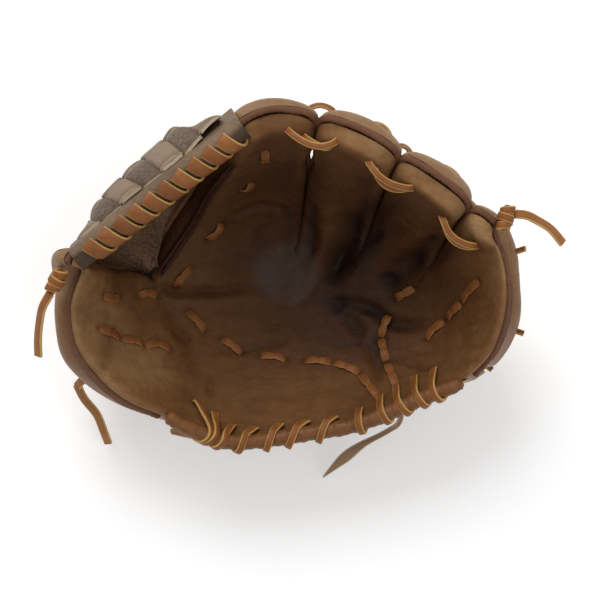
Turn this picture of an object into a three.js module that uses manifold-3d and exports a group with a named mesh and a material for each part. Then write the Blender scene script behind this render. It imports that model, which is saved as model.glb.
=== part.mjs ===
// A left-hand fielder's glove lying on its back with the pocket up.
// Millimetres: +Z out of the pocket, +Y from heel to fingertips, the thumb at -X.
// The palm surface is a patch swept over ribs that run from the heel (s = 0) to the tips (s = 1).
// Every leather piece is a shell hung a set depth below that patch, so the pieces nest.
import * as THREE from 'three';
import Module from 'manifold-3d';
import { mergeVertices } from 'three/addons/utils/BufferGeometryUtils.js';

const wasm = await Module();
wasm.setup();

// ---- Driving dimensions ----
const CENTRING = [7.31, 0.63, 0]; // moves the footprint's centre onto the origin
const CLEARANCE = 0.3; // between pieces that touch
const LEATHER = 2.6;
const FELT = 5;
const LINING = 1.2;
const WELT_RADIUS = 1.7;
const SEAM_HALF_GAP = 2.7; // room for the welting between front and back leather
const BINDING_RADIUS = 4.2;
const HEEL_LINE = { out: 3.5, below: 1.5 }; // where the binding runs, off the heel edge of the palm
const LACE_RADIUS = 1.7;
const FRONT_CORNER = 14; // radius where a finger's front leather turns down to its seam
const BACK_CORNER = 24;
const TIP_NARROWS_TO = 0.4; // width left at a fingertip's end, as a part of the finger's
const SLIT_INSET = 0.7; // each side of a slit between two fingers
const FOLD_SPREAD = Math.tan(THREE.MathUtils.degToRad(5)); // the fold's V, each side
const FOLD_INSET = 0.4;
const SPLIT = 0.62; // where the fingers part
const CROTCH = 0.5; // where thumb and index part
const TIP_CAP = 15; // length of a finger's rounded end
const KNUCKLE = 0.47; // where the finger backs begin
const BULGE = 9; // how far the back leather swells past an outer seam
const DEPTH_ALONG = [54, 48, 38, 30, 26]; // glove thickness from heel to tip
const SEAM_ALONG = [0.32, 0.32, 0.36, 0.44, 0.5]; // seam height as a part of the thickness
const OUTER_PLUMB = 0.85; // how far the outer walls turn from the palm's normal to straight down
const WEB_PANEL = 3;
const WEAVE = 3.6;
const WEB_BOWL = 10.5; // how far the web's middle stands out from its edges
const ROLL_RADIUS = 5;
const WRAPS = 10; // turns of lace round the web's rolled edge
const KNOT_RADIUS = 5.5;
const TAIL_HALF_WIDTH = 2.6;
const TAIL_FLAT = 0.5; // a tail's thickness as a part of its width

// ---- Palm surface ribs, heel to tip ----
const RIBS = {
  thumbOuter: [[-73, -78, 84], [-105, -65, 98], [-127, -41, 110], [-132, -19, 120], [-127, -4, 134]],
  thumbMiddle: [[-58, -83, 76], [-82, -52, 64], [-105, -26, 74], [-116, -8, 98], [-119, 1, 138]],
  thumbInner: [[-43, -87, 73], [-62, -47, 48], [-89, 11, 58], [-109, 14, 84], [-116, 8, 132]],
  fold: [[-43, -87, 73], [-62, -47, 48], [-89, 11, 58], [-86, 32, 84], [-73, 38, 145]],
  indexInner: [[-43, -87, 73], [-62, -47, 48], [-89, 11, 58], [-62, 50, 84], [-30, 68, 158]],
  index: [[-22, -86, 72], [-23, -46, 45], [-23, 3, 34], [-20, 54, 60], [-10, 75, 164]],
  middle: [[4, -82, 72], [5, -46, 45], [8, -1, 35], [21, 47, 62], [28, 65, 163]],
  ring: [[37, -76, 75], [43, -41, 50], [50, 0, 43], [62, 32, 74], [72, 40, 152]],
  pinky: [[77, -60, 80], [84, -38, 62], [90, -12, 64], [97, 10, 92], [103, 19, 140]],
  pinkyOuter: [[100, -53, 90], [112, -40, 104], [118, -20, 116], [118, -2, 128], [114, 16, 138]],
};
// The web's two sides, from the crotch up to the rolled edge.
const WEB_AT_THUMB = [[-92, 13, 60], [-107, 17, 72], [-121, 18, 92], [-135, 15, 114], [-122, 12, 146]];
const WEB_AT_INDEX = [[-88, 16, 60], [-75, 37, 78], [-58, 62, 100], [-46, 98, 122], [-32, 76, 166]];

// ---- Small maths ----
const vec = (p) => new THREE.Vector3(p[0], p[1], p[2]);
const mix = THREE.MathUtils.lerp;
const smooth = (from, to, x) => THREE.MathUtils.smoothstep(x, from, to);
const clamp = THREE.MathUtils.clamp;
const spread = (n) => Array.from({ length: n + 1 }, (_, i) => i / n);

function catmull(p, t) {
  const [a, b, c, d] = p;
  const w = [
    0.5 * (-t + 2 * t * t - t * t * t),
    0.5 * (2 - 5 * t * t + 3 * t * t * t),
    0.5 * (t + 4 * t * t - 3 * t * t * t),
    0.5 * (-t * t + t * t * t),
  ];
  return new THREE.Vector3().addScaledVector(a, w[0]).addScaledVector(b, w[1])
    .addScaledVector(c, w[2]).addScaledVector(d, w[3]);
}

// A point on a five-point rib.
function along(points, s) {
  const last = points.length - 1;
  const at = clamp(s, 0, 1) * last;
  const i = Math.min(Math.floor(at), last - 1);
  const rib = points.map(vec);
  const before = i > 0 ? rib[i - 1] : rib[0].clone().multiplyScalar(2).sub(rib[1]);
  const after = i + 2 <= last ? rib[i + 2] : rib[last].clone().multiplyScalar(2).sub(rib[last - 1]);
  return catmull([before, rib[i], rib[i + 1], after], at - i);
}

// A value on a five-point profile.
function profile(values, s) {
  const at = clamp(s, 0, 1) * (values.length - 1);
  const i = Math.min(Math.floor(at), values.length - 2);
  return mix(values[i], values[i + 1], at - i);
}

const beyond = (edge, inner) => edge.clone().multiplyScalar(2).sub(inner);

// The ribs a patch is drawn over, with one more on each side to set its slope there.
// Below the crotch the thumb side and the finger side share the fold rib and their slope there.
function ribRow(side, s) {
  const at = (name) => along(RIBS[s <= CROTCH && name.endsWith('Inner') ? 'fold' : name], s);
  const free = smooth(CROTCH - 0.04, CROTCH + 0.1, s);
  if (side === 'thumb') {
    const row = [at('thumbOuter'), at('thumbMiddle'), at('thumbInner')];
    const after = at('index').lerp(beyond(row[2], row[1]), free);
    return [beyond(row[0], row[1]), ...row, after];
  }
  const row = ['indexInner', 'index', 'middle', 'ring', 'pinky', 'pinkyOuter'].map(at);
  const before = at('thumbMiddle').lerp(beyond(row[0], row[1]), free);
  return [before, ...row, beyond(row[5], row[4])];
}

function patch(side, u, s) {
  const row = ribRow(side, s);
  const spans = row.length - 3;
  const i = clamp(Math.floor(u), 0, spans - 1);
  return catmull(row.slice(i, i + 4), u - i);
}

// The patch's point with its across, along and outward directions, and the way down to the back.
function frameAt(side, u, s) {
  const step = 0.01;
  const s0 = clamp(s - step, 0, 1);
  const s1 = clamp(s + step, 0, 1);
  const point = patch(side, u, s);
  const across = patch(side, u + step, s).sub(patch(side, u - step, s)).divideScalar(2 * step);
  const forward = patch(side, u, s1).sub(patch(side, u, s0)).divideScalar(s1 - s0);
  const out = across.clone().cross(forward).normalize();
  const heel = 1 - smooth(0.1, 0.6, s);
  const down = out.clone().negate().lerp(new THREE.Vector3(0, 0.05, -1), heel).normalize();
  const outer = side === 'thumb' ? clamp(1 - u / 1.2, 0, 1) : clamp((u - 3.5) / 1.5, 0, 1);
  down.lerp(new THREE.Vector3(0, 0, -1), OUTER_PLUMB * outer * outer).normalize();
  return { point, across, forward, out, down };
}

// ---- Digits: ranges of the patch that become one padded finger each ----
// leftFree and rightFree give the s from which that edge is open; 0 is open all the way.
const DIGITS = {
  thumb: { side: 'thumb', from: 0, to: 2, leftFree: 0, rightFree: CROTCH, bulgeLeft: BULGE, fold: 'right' },
  index: { side: 'finger', from: 0, to: 1.5, leftFree: CROTCH, rightFree: SPLIT, fold: 'left' },
  middle: { side: 'finger', from: 1.5, to: 2.5, leftFree: SPLIT, rightFree: SPLIT },
  ring: { side: 'finger', from: 2.5, to: 3.5, leftFree: SPLIT, rightFree: SPLIT },
  pinky: { side: 'finger', from: 3.5, to: 5, leftFree: SPLIT, rightFree: 0, bulgeRight: BULGE },
  hand: { side: 'finger', from: 0, to: 5, leftFree: CROTCH, rightFree: 0, bulgeRight: BULGE, fold: 'left' },
};

const openness = (free, s) => (free === 0 ? 1 : smooth(free - 0.08, free + 0.08, s));

function digitFacts(digit, s) {
  const middle = (digit.from + digit.to) / 2;
  const span = digit.to - digit.from;
  const rate = frameAt(digit.side, middle, 0.97).forward.length();
  const capFrom = 1 - TIP_CAP / rate;
  const inCap = clamp((s - capFrom) / (1 - capFrom), 0, 1);
  const round = Math.sqrt(1 - inCap * inCap);
  const width = frameAt(digit.side, middle, s).across.length() * span;
  const depth = profile(DEPTH_ALONG, s);
  const seam = profile(SEAM_ALONG, s);
  return { middle, span, width, capFrom, round, depth, seam };
}

// 0 at the flat, 1 at the edge, for a corner of radius r whose edge is e away.
function corner(e, r, power) {
  const x = clamp(1 - e / r, 0, 1);
  return 1 - Math.pow(1 - Math.pow(x, power), 1 / power);
}

// A point of a digit: a runs -1..1 across it, face is 'front' or 'back', inset is the depth inside.
function digitPoint(name, a, sOuter, face, inset) {
  const digit = DIGITS[name];
  const cap = digitFacts(digit, sOuter);
  const s = sOuter > cap.capFrom ? cap.capFrom + (sOuter - cap.capFrom) * (1 - inset / TIP_CAP) : sOuter;
  const leftOpen = openness(digit.leftFree, s);
  const rightOpen = openness(digit.rightFree, s);
  const open = a < 0 ? leftOpen : rightOpen;
  const isFold = digit.fold === (a < 0 ? 'left' : 'right');
  const backDrop = face === 'back' ? cap.depth * (1 - cap.seam) : 0;
  const foldInset = isFold ? (FOLD_INSET + (inset + backDrop) * FOLD_SPREAD) * (1 - open) : 0;
  const sideInset = (SLIT_INSET + inset) * open + foldInset;
  const narrow = mix(TIP_NARROWS_TO, 1, cap.round);
  const half = (cap.span / 2) * (1 - (2 * sideInset) / cap.width) * narrow;
  const at = frameAt(digit.side, cap.middle + half * a, s);
  const toEdge = ((1 - Math.abs(a)) / 2) * cap.width;
  const seamDrop = cap.depth * cap.seam;
  const sunk = inset * (1 - open * Math.pow(Math.abs(a), 8)); // the two faces meet at an open edge
  const result = at.point.clone();
  if (face === 'front') {
    const lip = seamDrop - SEAM_HALF_GAP;
    const drop = corner(toEdge, FRONT_CORNER, 2.4) * open * lip;
    return result.addScaledVector(at.down, mix(lip, Math.min(drop + sunk, lip), cap.round));
  }
  const deep = cap.depth - seamDrop - SEAM_HALF_GAP;
  const rise = corner(toEdge, BACK_CORNER, 2.2) * open;
  const height = Math.max(deep * (1 - rise) - sunk, 0) * cap.round;
  const swell = (a < 0 ? digit.bulgeLeft : digit.bulgeRight) || 0;
  const lean = swell * Math.sin(Math.PI * clamp(rise, 0, 1)) * cap.round * Math.sign(a);
  result.addScaledVector(at.across.clone().setZ(0).normalize(), lean);
  result.addScaledVector(at.down, seamDrop + SEAM_HALF_GAP + height);
  result.z = Math.max(result.z, inset);
  return result;
}

// ---- Solids ----
function solid(points, triangles) {
  const geometry = new THREE.BufferGeometry();
  const numbers = points.flatMap((p) => [p.x, p.y, p.z]);
  geometry.setAttribute('position', new THREE.Float32BufferAttribute(numbers, 3));
  geometry.setIndex(triangles);
  return geometry;
}

// A closed shell over four-cornered cells: outerAt and innerAt give the two faces at a corner.
function shell(cells, outerAt, innerAt) {
  const ids = new Map();
  cells.flat().forEach((key) => ids.has(key) || ids.set(key, ids.size));
  const count = ids.size;
  const points = [...[...ids.keys()].map(outerAt), ...[...ids.keys()].map(innerAt)];
  const edges = new Set();
  const triangles = [];
  for (const cell of cells) {
    const [p, q, r, t] = cell.map((key) => ids.get(key));
    triangles.push(p, q, r, p, r, t);
    triangles.push(p + count, r + count, q + count, p + count, t + count, r + count);
    [[p, q], [q, r], [r, t], [t, p]].forEach(([from, to]) => edges.add(`${from},${to}`));
  }
  for (const edge of edges) {
    const [from, to] = edge.split(',').map(Number);
    if (!edges.has(`${to},${from}`)) {
      triangles.push(to, from, from + count, to, from + count, to + count);
    }
  }
  return solid(points, triangles);
}

// A closed shell over one grid; flip turns it to face the other way.
function sheet(us, vs, outerAt, innerAt, flip = false) {
  const cells = [];
  for (let i = 0; i < us.length - 1; i += 1) {
    for (let j = 0; j < vs.length - 1; j += 1) {
      const cell = [[i, j], [i + 1, j], [i + 1, j + 1], [i, j + 1]].map((c) => c.join(':'));
      cells.push(flip ? cell.reverse() : cell);
    }
  }
  const place = (at) => (key) => {
    const [i, j] = key.split(':').map(Number);
    return at(us[i], vs[j]);
  };
  return shell(cells, place(outerAt), place(innerAt));
}

// A closed tube of an oval section along a curve through points.
function tube(points, radius, { sides = 8, steps = 2 * points.length, flat = 1 } = {}) {
  const section = spread(sides).slice(1).map((t) => {
    const angle = 2 * Math.PI * t;
    return new THREE.Vector2(radius * Math.cos(angle), radius * flat * Math.sin(angle));
  });
  const path = new THREE.CatmullRomCurve3(points, false, 'centripetal');
  return new THREE.ExtrudeGeometry(new THREE.Shape(section), {
    extrudePath: path, steps, bevelEnabled: false, curveSegments: 1,
  });
}

function asManifold(geometry) {
  const bare = geometry.clone();
  bare.deleteAttribute('normal');
  bare.deleteAttribute('uv');
  const welded = mergeVertices(bare, 1e-4);
  const mesh = new wasm.Mesh({
    numProp: 3,
    vertProperties: new Float32Array(welded.attributes.position.array),
    triVerts: new Uint32Array(welded.index.array),
  });
  mesh.merge();
  return new wasm.Manifold(mesh);
}

function cutWith(geometry, cutters) {
  let result = asManifold(geometry);
  cutters.forEach((cutter) => {
    result = result.subtract(asManifold(cutter));
  });
  // A cut that grazes a corner can leave a crumb behind, so only the largest body is kept.
  const [largest] = result.decompose().sort((p, q) => q.volume() - p.volume());
  const mesh = largest.getMesh();
  const cut = new THREE.BufferGeometry();
  cut.setAttribute('position', new THREE.BufferAttribute(mesh.vertProperties, 3));
  cut.setIndex(new THREE.BufferAttribute(mesh.triVerts, 1));
  return cut;
}

// ---- Materials ----
const leatherMaterial = (colour, roughness) =>
  new THREE.MeshStandardMaterial({ color: colour, roughness, metalness: 0 });
const MATERIAL = {
  palm: leatherMaterial(0x5d4430, 0.6),
  back: leatherMaterial(0x8a6a4c, 0.55),
  welt: leatherMaterial(0x4a2d22, 0.6),
  binding: leatherMaterial(0x7a4a30, 0.55),
  lace: leatherMaterial(0xa8622f, 0.5),
  lining: leatherMaterial(0xb08b5c, 0.75),
  web: leatherMaterial(0x4c3a2b, 0.65),
  weave: leatherMaterial(0x75604a, 0.6),
  felt: leatherMaterial(0xcfc6b4, 0.95),
  fleece: leatherMaterial(0xe4dccb, 0.98),
};

const glove = new THREE.Group();
glove.position.set(...CENTRING);

function add(name, geometry, material) {
  const mesh = new THREE.Mesh(geometry, MATERIAL[material]);
  mesh.name = name;
  glove.add(mesh);
  return geometry;
}

// ---- Grids ----
const ACROSS = spread(6).map((t) => Math.sin(Math.PI * (t - 0.5)));
const FINGERS = ['index', 'middle', 'ring', 'pinky'];
const PALM_ROWS = [0.05, 0.1, 0.18, 0.26, 0.34, 0.42, 0.5, 0.56, SPLIT];

// Rows of s from a finger's root to its tip, closing up over the rounded end.
function fingerRows(name, from) {
  const { capFrom } = digitFacts(DIGITS[name], 1);
  const shaft = spread(6).slice(1).map((t) => mix(from, capFrom, t));
  const cap = spread(3).slice(1).map((t) => mix(capFrom, 1, Math.sin((Math.PI / 2) * t)));
  return [...shaft, ...cap];
}

// The front leather: one palm that parts into fingers at SPLIT.
function frontLeather(names, cutters) {
  const cells = [];
  const last = ACROSS.length - 1;
  const rows = Object.fromEntries(names.map((name) => [name, [...PALM_ROWS, ...fingerRows(name, SPLIT)]]));
  const key = (n, i, j) => {
    const shared = i === last && n < names.length - 1 && j < PALM_ROWS.length;
    return shared ? `${n + 1}:0:${j}` : `${n}:${i}:${j}`;
  };
  names.forEach((name, n) => {
    for (let i = 0; i < last; i += 1) {
      for (let j = 0; j < rows[name].length - 1; j += 1) {
        cells.push([key(n, i, j), key(n, i + 1, j), key(n, i + 1, j + 1), key(n, i, j + 1)]);
      }
    }
  });
  const place = (inset) => (corners) => {
    const [n, i, j] = corners.split(':').map(Number);
    return digitPoint(names[n], ACROSS[i], rows[names[n]][j], 'front', inset);
  };
  return cutWith(shell(cells, place(0), place(LEATHER)), cutters);
}

// A layer of one digit between two depths, over columns across it and rows of s.
function layer(name, face, cols, rows, from, to) {
  const at = (inset) => (a, s) => digitPoint(name, a, s, face, inset);
  return sheet(cols, rows, at(from), at(to), face === 'back');
}

// ---- Heel binding and the lace that wraps it ----
const STEPS_PER_TURN = 8;

function heelPoint(side, u, inward, below) {
  const at = frameAt(side, u, 0);
  const forward = at.forward.clone().normalize();
  return at.point.clone().addScaledVector(forward, inward).addScaledVector(at.out, -below);
}

// An oval coil round the binding, through holes in the palm leather.
// loop is half the size of a turn, along the palm and through it.
function heelLaceLine(side, from, to, turns, loop) {
  return spread(turns * STEPS_PER_TURN).map((t) => {
    const angle = 2 * Math.PI * turns * t;
    const inward = 1.5 + loop[0] * Math.cos(angle);
    const below = 1.5 - loop[1] * Math.sin(angle);
    return heelPoint(side, mix(from, to, t), inward, below);
  });
}

function addHeel(suffix, side, from, to, turns, loop) {
  const line = heelLaceLine(side, from, to, turns, loop);
  const steps = turns * STEPS_PER_TURN;
  const room = tube(line, LACE_RADIUS + CLEARANCE, { sides: 5, steps });
  const rollLine = spread(12).map((t) => heelPoint(side, mix(from, to, t), -HEEL_LINE.out, HEEL_LINE.below));
  const roll = tube(rollLine, BINDING_RADIUS, { steps: 16 });
  add(`heel_binding_${suffix}`, cutWith(roll, [room]), 'binding');
  add(`heel_lace_${suffix}`, tube(line, LACE_RADIUS, { sides: 5, steps }), 'lace');
  return room;
}

const holesInPalm = addHeel('palm', 'finger', 0.16, 4.85, 11, [14, 10]);
const holesInThumb = addHeel('thumb', 'thumb', 0.4, 1.8, 2, [11, 9]);

// ---- Welting: a cord of leather in the seam round each finger ----
function seamPoint(name, a, s, proud) {
  const front = digitPoint(name, a, s, 'front', 0);
  const back = digitPoint(name, a, s, 'back', 0);
  const digit = DIGITS[name];
  const at = frameAt(digit.side, (digit.from + digit.to) / 2, s);
  const outward = s > 0.995 && Math.abs(a) < 0.9 ? at.forward.clone() : at.across.clone().multiplyScalar(a);
  return front.add(back).multiplyScalar(0.5).addScaledVector(outward.normalize(), proud);
}

function welting(name, leftFrom, rightFrom, radius = WELT_RADIUS) {
  const { capFrom } = digitFacts(DIGITS[name], 1);
  const { leftFree, rightFree } = DIGITS[name];
  const side = (a, from) => {
    const sunk = (a < 0 ? leftFree : rightFree) === SPLIT ? -1.8 : 1.2;
    return [
      ...spread(8).map((t) => seamPoint(name, a, mix(from, capFrom, t), sunk)),
      seamPoint(name, a, mix(capFrom, 1, 0.6), mix(sunk, 0.6, 0.6)),
      seamPoint(name, a, mix(capFrom, 1, 0.93), 0.6),
    ];
  };
  const tip = [-0.5, 0, 0.5].map((a) => seamPoint(name, a, 1, 0.6));
  const points = [...side(-1, leftFrom), ...tip, ...side(1, rightFrom).reverse()];
  return tube(points, radius, { sides: 6, steps: 36 });
}

// From which s the welting runs, on the left and the right of each digit.
const slitTop = SPLIT + 0.12;
const WELT_RANGE = {
  index: [CROTCH + 0.13, slitTop],
  middle: [slitTop, slitTop],
  ring: [slitTop, slitTop],
  pinky: [slitTop, 0.17],
  thumb: [0.08, CROTCH + 0.12],
};
Object.entries(WELT_RANGE).forEach(([name, range]) => {
  add(`${name}_welting`, welting(name, ...range), 'welt');
});
const roomForThumbWelt = welting('thumb', ...WELT_RANGE.thumb, WELT_RADIUS + CLEARANCE);
const roomForPinkyWelt = welting('pinky', ...WELT_RANGE.pinky, WELT_RADIUS + CLEARANCE);

// ---- Front leather, felt and lining ----
add('palm_leather', frontLeather(FINGERS, [holesInPalm, roomForPinkyWelt]), 'palm');
add('thumb_leather', frontLeather(['thumb'], [holesInThumb, roomForThumbWelt]), 'palm');

const LAYER_GAP = 1.6; // between leather, felt and lining
const FELT_TOP = LEATHER + LAYER_GAP;
const LINING_TOP = FELT_TOP + FELT + LAYER_GAP;
const innerCols = spread(10).map((t) => mix(-0.94, 0.72, t));
const feltRows = [0.2, 0.27, 0.34, 0.41, 0.47, 0.52];
const inHand = (from, depth) => layer('hand', 'front', innerCols, feltRows, from, from + depth);
add('palm_felt', inHand(FELT_TOP, FELT), 'felt');
add('palm_lining', inHand(LINING_TOP, LINING), 'lining');
const thumbCols = spread(6).map((t) => mix(-0.66, 0.9, t));
const thumbFeltRows = [0.22, 0.3, 0.38, 0.46];
add('thumb_felt', layer('thumb', 'front', thumbCols, thumbFeltRows, FELT_TOP, FELT_TOP + FELT), 'felt');

// ---- Back of the hand and the finger stalls ----
const backCols = [...spread(8).map((t) => mix(-1, 0.6, t)), 0.72, 0.82, 0.9, 0.96, 1];
const handRows = [0.2, 0.29, 0.38, KNUCKLE - 0.01];
const strapRows = [0.02, 0.1];
const fleeceRows = [0.03, 0.09];
add('hand_back', layer('hand', 'back', backCols, handRows, 0, LEATHER), 'back');
add('wrist_strap', layer('hand', 'back', backCols, strapRows, 0, LEATHER), 'back');
const fleece = layer('hand', 'back', backCols.slice(1, -4), fleeceRows, LEATHER + CLEARANCE, LEATHER + 4);
add('strap_fleece', fleece, 'fleece');
FINGERS.forEach((name) => {
  const rows = [KNUCKLE, 0.55, ...fingerRows(name, 0.55)];
  add(`${name}_back`, layer(name, 'back', ACROSS, rows, 0, LEATHER), 'back');
});
const thumbBackRows = [0.03, 0.12, 0.2, 0.3, 0.4, 0.5, 0.6, ...fingerRows('thumb', 0.6)];
const thumbShell = layer('thumb', 'back', ACROSS, thumbBackRows, 0, LEATHER);
add('thumb_back', cutWith(thumbShell, [roomForThumbWelt]), 'back');

// ---- Web ----
// A bowl-shaped panel: a runs from thumb to index, b from the crotch up to the rolled edge.
function webPoint(a, b, outside) {
  const step = 0.01;
  const flat = (x, y) => along(WEB_AT_THUMB, y).lerp(along(WEB_AT_INDEX, y), x);
  const b0 = clamp(b, step, 1 - step);
  const across = flat(a + step, b).sub(flat(a - step, b));
  const up = flat(a, b0 + step).sub(flat(a, b0 - step));
  const away = up.clone().cross(across).normalize();
  const bowl = WEB_BOWL * Math.sin(Math.PI * a) * Math.sqrt(Math.sin(Math.PI * clamp(b, 0, 1)));
  return flat(a, b).addScaledVector(away, bowl + outside);
}

const webCols = spread(7).map((t) => mix(0.04, 0.97, t));
const webRows = spread(5).map((t) => mix(0.04, 0.88, t));
const webLayer = (from, to) => sheet(
  webCols, webRows, (a, b) => webPoint(a, b, from), (a, b) => webPoint(a, b, to),
);
add('web_panel', webLayer(0, WEB_PANEL), 'web');
add('web_weave', webLayer(WEB_PANEL + CLEARANCE, WEB_PANEL + CLEARANCE + WEAVE), 'weave');

const rollLine = spread(8).map((t) => webPoint(mix(0.02, 0.98, t), 1, 2));
add('web_roll', tube(rollLine, ROLL_RADIUS), 'weave');

function coil(line, radius, turns) {
  const path = new THREE.CatmullRomCurve3(line, false, 'centripetal');
  const side = new THREE.Vector3(0, 0, 1);
  return spread(turns * STEPS_PER_TURN).map((t) => {
    const at = path.getPointAt(mix(0.03, 0.97, t));
    const tangent = path.getTangentAt(mix(0.03, 0.97, t));
    const u = side.clone().addScaledVector(tangent, -side.dot(tangent)).normalize();
    const v = tangent.clone().cross(u);
    const angle = 2 * Math.PI * turns * t;
    return at.addScaledVector(u, radius * Math.cos(angle)).addScaledVector(v, radius * Math.sin(angle));
  });
}

const wrapLine = coil(rollLine, ROLL_RADIUS + CLEARANCE + LACE_RADIUS + 0.4, WRAPS);
add('web_roll_lace', tube(wrapLine, LACE_RADIUS, { sides: 5, steps: WRAPS * STEPS_PER_TURN }), 'lace');

// ---- Laces that tie neighbouring fingertips ----
function tipLace(left, right, s) {
  const onFront = (name, a) => {
    const at = frameAt(DIGITS[name].side, (DIGITS[name].from + DIGITS[name].to) / 2, s);
    const lift = LACE_RADIUS + CLEARANCE + 0.6;
    return digitPoint(name, a, s, 'front', 0).addScaledVector(at.out, lift);
  };
  const line = [onFront(left, 0.5), onFront(left, 0.8), onFront(right, -0.8), onFront(right, -0.5)];
  return tube(line, LACE_RADIUS, { sides: 6, steps: 8 });
}
add('tip_lace_index_middle', tipLace('index', 'middle', 0.95), 'lace');
add('tip_lace_middle_ring', tipLace('middle', 'ring', 0.93), 'lace');
add('tip_lace_ring_pinky', tipLace('ring', 'pinky', 0.92), 'lace');

// ---- Knots and the free ends of the laces ----
// Each tail is a flat thong; its list of points is its route.
const TAILS = {
  thumb_tip: {
    knot: [-139, -3, 130],
    route: [[-143, -10, 127], [-148, -17, 121], [-151, -25, 112], [-153, -33, 103], [-154, -41, 94]],
  },
  thumb_heel: {
    route: [[-136, -54, 55], [-133, -61, 44], [-127, -69, 30], [-124, -78, 18], [-122, -85, 8]],
  },
  heel: {
    route: [[57, -80, 60], [49, -84, 51], [38, -89, 39], [26, -97, 22], [15, -106, 5]],
  },
  pinky_tip: {
    knot: [117, 32, 139],
    route: [[123, 34, 139], [129, 33.5, 138], [135, 31.5, 135], [144, 27.5, 129], [152, 21, 121]],
  },
};
Object.entries(TAILS).forEach(([name, tail]) => {
  add(`${name}_tail`, tube(tail.route.map(vec), TAIL_HALF_WIDTH, { steps: 8, flat: TAIL_FLAT }), 'lace');
  if (tail.knot) {
    const knot = new THREE.SphereGeometry(KNOT_RADIUS, 8, 6).scale(0.9, 0.8, 1);
    add(`${name}_knot`, knot.translate(...tail.knot), 'lace');
  }
});

export default glove;
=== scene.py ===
"""Looks of a left-hand fielder's baseball glove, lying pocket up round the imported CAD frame."""

import bmesh
import bpy
import numpy as np
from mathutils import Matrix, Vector, noise


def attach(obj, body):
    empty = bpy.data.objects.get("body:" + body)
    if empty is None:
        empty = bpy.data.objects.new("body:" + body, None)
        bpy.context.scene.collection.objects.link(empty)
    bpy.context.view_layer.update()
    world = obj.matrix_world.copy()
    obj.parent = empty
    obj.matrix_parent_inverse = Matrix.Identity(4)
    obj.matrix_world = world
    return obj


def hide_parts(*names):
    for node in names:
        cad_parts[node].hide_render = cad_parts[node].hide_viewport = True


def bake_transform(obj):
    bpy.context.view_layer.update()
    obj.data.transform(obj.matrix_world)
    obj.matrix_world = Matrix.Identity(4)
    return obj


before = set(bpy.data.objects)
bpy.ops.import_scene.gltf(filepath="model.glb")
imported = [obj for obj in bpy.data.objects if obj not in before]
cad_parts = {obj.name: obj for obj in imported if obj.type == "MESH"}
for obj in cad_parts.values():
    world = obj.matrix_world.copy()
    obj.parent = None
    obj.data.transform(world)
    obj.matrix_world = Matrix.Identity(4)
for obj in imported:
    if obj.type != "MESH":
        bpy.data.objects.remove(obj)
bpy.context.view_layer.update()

# ---- Driving dimensions, in millimetres, as in the CAD model ----
MM = 0.001
CENTRING = np.array([7.31, 0.63, 0.0])
LEATHER = 2.6
LAYER_GAP = 1.6
FELT = 5.0
LINING = 1.2
SEAM_HALF_GAP = 2.7
SPLIT = 0.70          # where the fingers part
CROTCH = 0.5          # where thumb and index part
KNUCKLE = 0.47        # where the finger backs begin
HEEL_EDGE = 0.003
TIP_CAP = 15.0        # length of a finger's rounded end
TIP_CORNER = 7.0
BACK_CORNER = 24.0
BULGE = 9.0
SLIT_INSET = 0.7
TOUCHING = 0.05       # inset where neighbouring fingers press together, at the seams
PEEP = dict(s=0.885, reach=0.026, inset=1.7)  # the gap that stays open between index and middle
PROFILE_S = [0, 0.25, 0.5, 0.75, 1]
DEPTH_ALONG = [54, 48, 38, 30, 26]
SEAM_ALONG = [0.32, 0.32, 0.36, 0.44, 0.55]
OUTER_PLUMB = 0.85    # how far the glove's outer walls turn from the surface's normal to straight down

RIBS = {
    "thumb_outer": [(-73, -78, 84), (-105, -65, 98), (-127, -41, 110), (-132, -19, 120), (-127, -4, 134)],
    "thumb_middle": [(-58, -83, 76), (-82, -52, 64), (-105, -26, 74), (-116, -8, 98), (-119, 1, 138)],
    "thumb_inner": [(-43, -87, 73), (-62, -47, 48), (-89, 11, 58), (-109, 14, 84), (-116, 8, 132)],
    "fold": [(-43, -87, 73), (-62, -47, 48), (-89, 11, 58), (-86, 32, 84), (-73, 38, 145)],
    "index_inner": [(-43, -87, 73), (-62, -47, 48), (-89, 11, 58), (-62, 50, 84), (-30, 68, 158)],
    "index": [(-22, -86, 72), (-23, -46, 45), (-23, 3, 34), (-20, 54, 60), (-10, 75, 164)],
    "middle": [(4, -82, 72), (5, -46, 45), (8, -1, 35), (21, 47, 62), (28, 65, 163)],
    "ring": [(37, -76, 75), (43, -41, 50), (50, 0, 43), (62, 32, 74), (72, 40, 152)],
    "pinky": [(77, -60, 80), (84, -38, 62), (90, -12, 64), (97, 10, 92), (103, 19, 140)],
    "pinky_outer": [(100, -53, 90), (112, -40, 104), (118, -20, 116), (118, -2, 128), (114, 16, 138)],
}
WEB_AT_THUMB = [(-92, 13, 60), (-107, 17, 72), (-121, 18, 92), (-135, 15, 114), (-122, 12, 146)]
WEB_AT_INDEX = [(-88, 16, 60), (-75, 37, 78), (-58, 62, 100), (-46, 98, 122), (-32, 76, 166)]
WEB_BOWL = 7.5


def stall(side, span, free, corner, swell=(0, 0), peep=(0, 0)):
    """Each pair but the span is for the left and right edges. free is where an edge parts from its neighbour,
    or 0 where there is none."""
    return dict(side=side, span=span, free=free, corner=corner, swell=swell, peep=peep)


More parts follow.
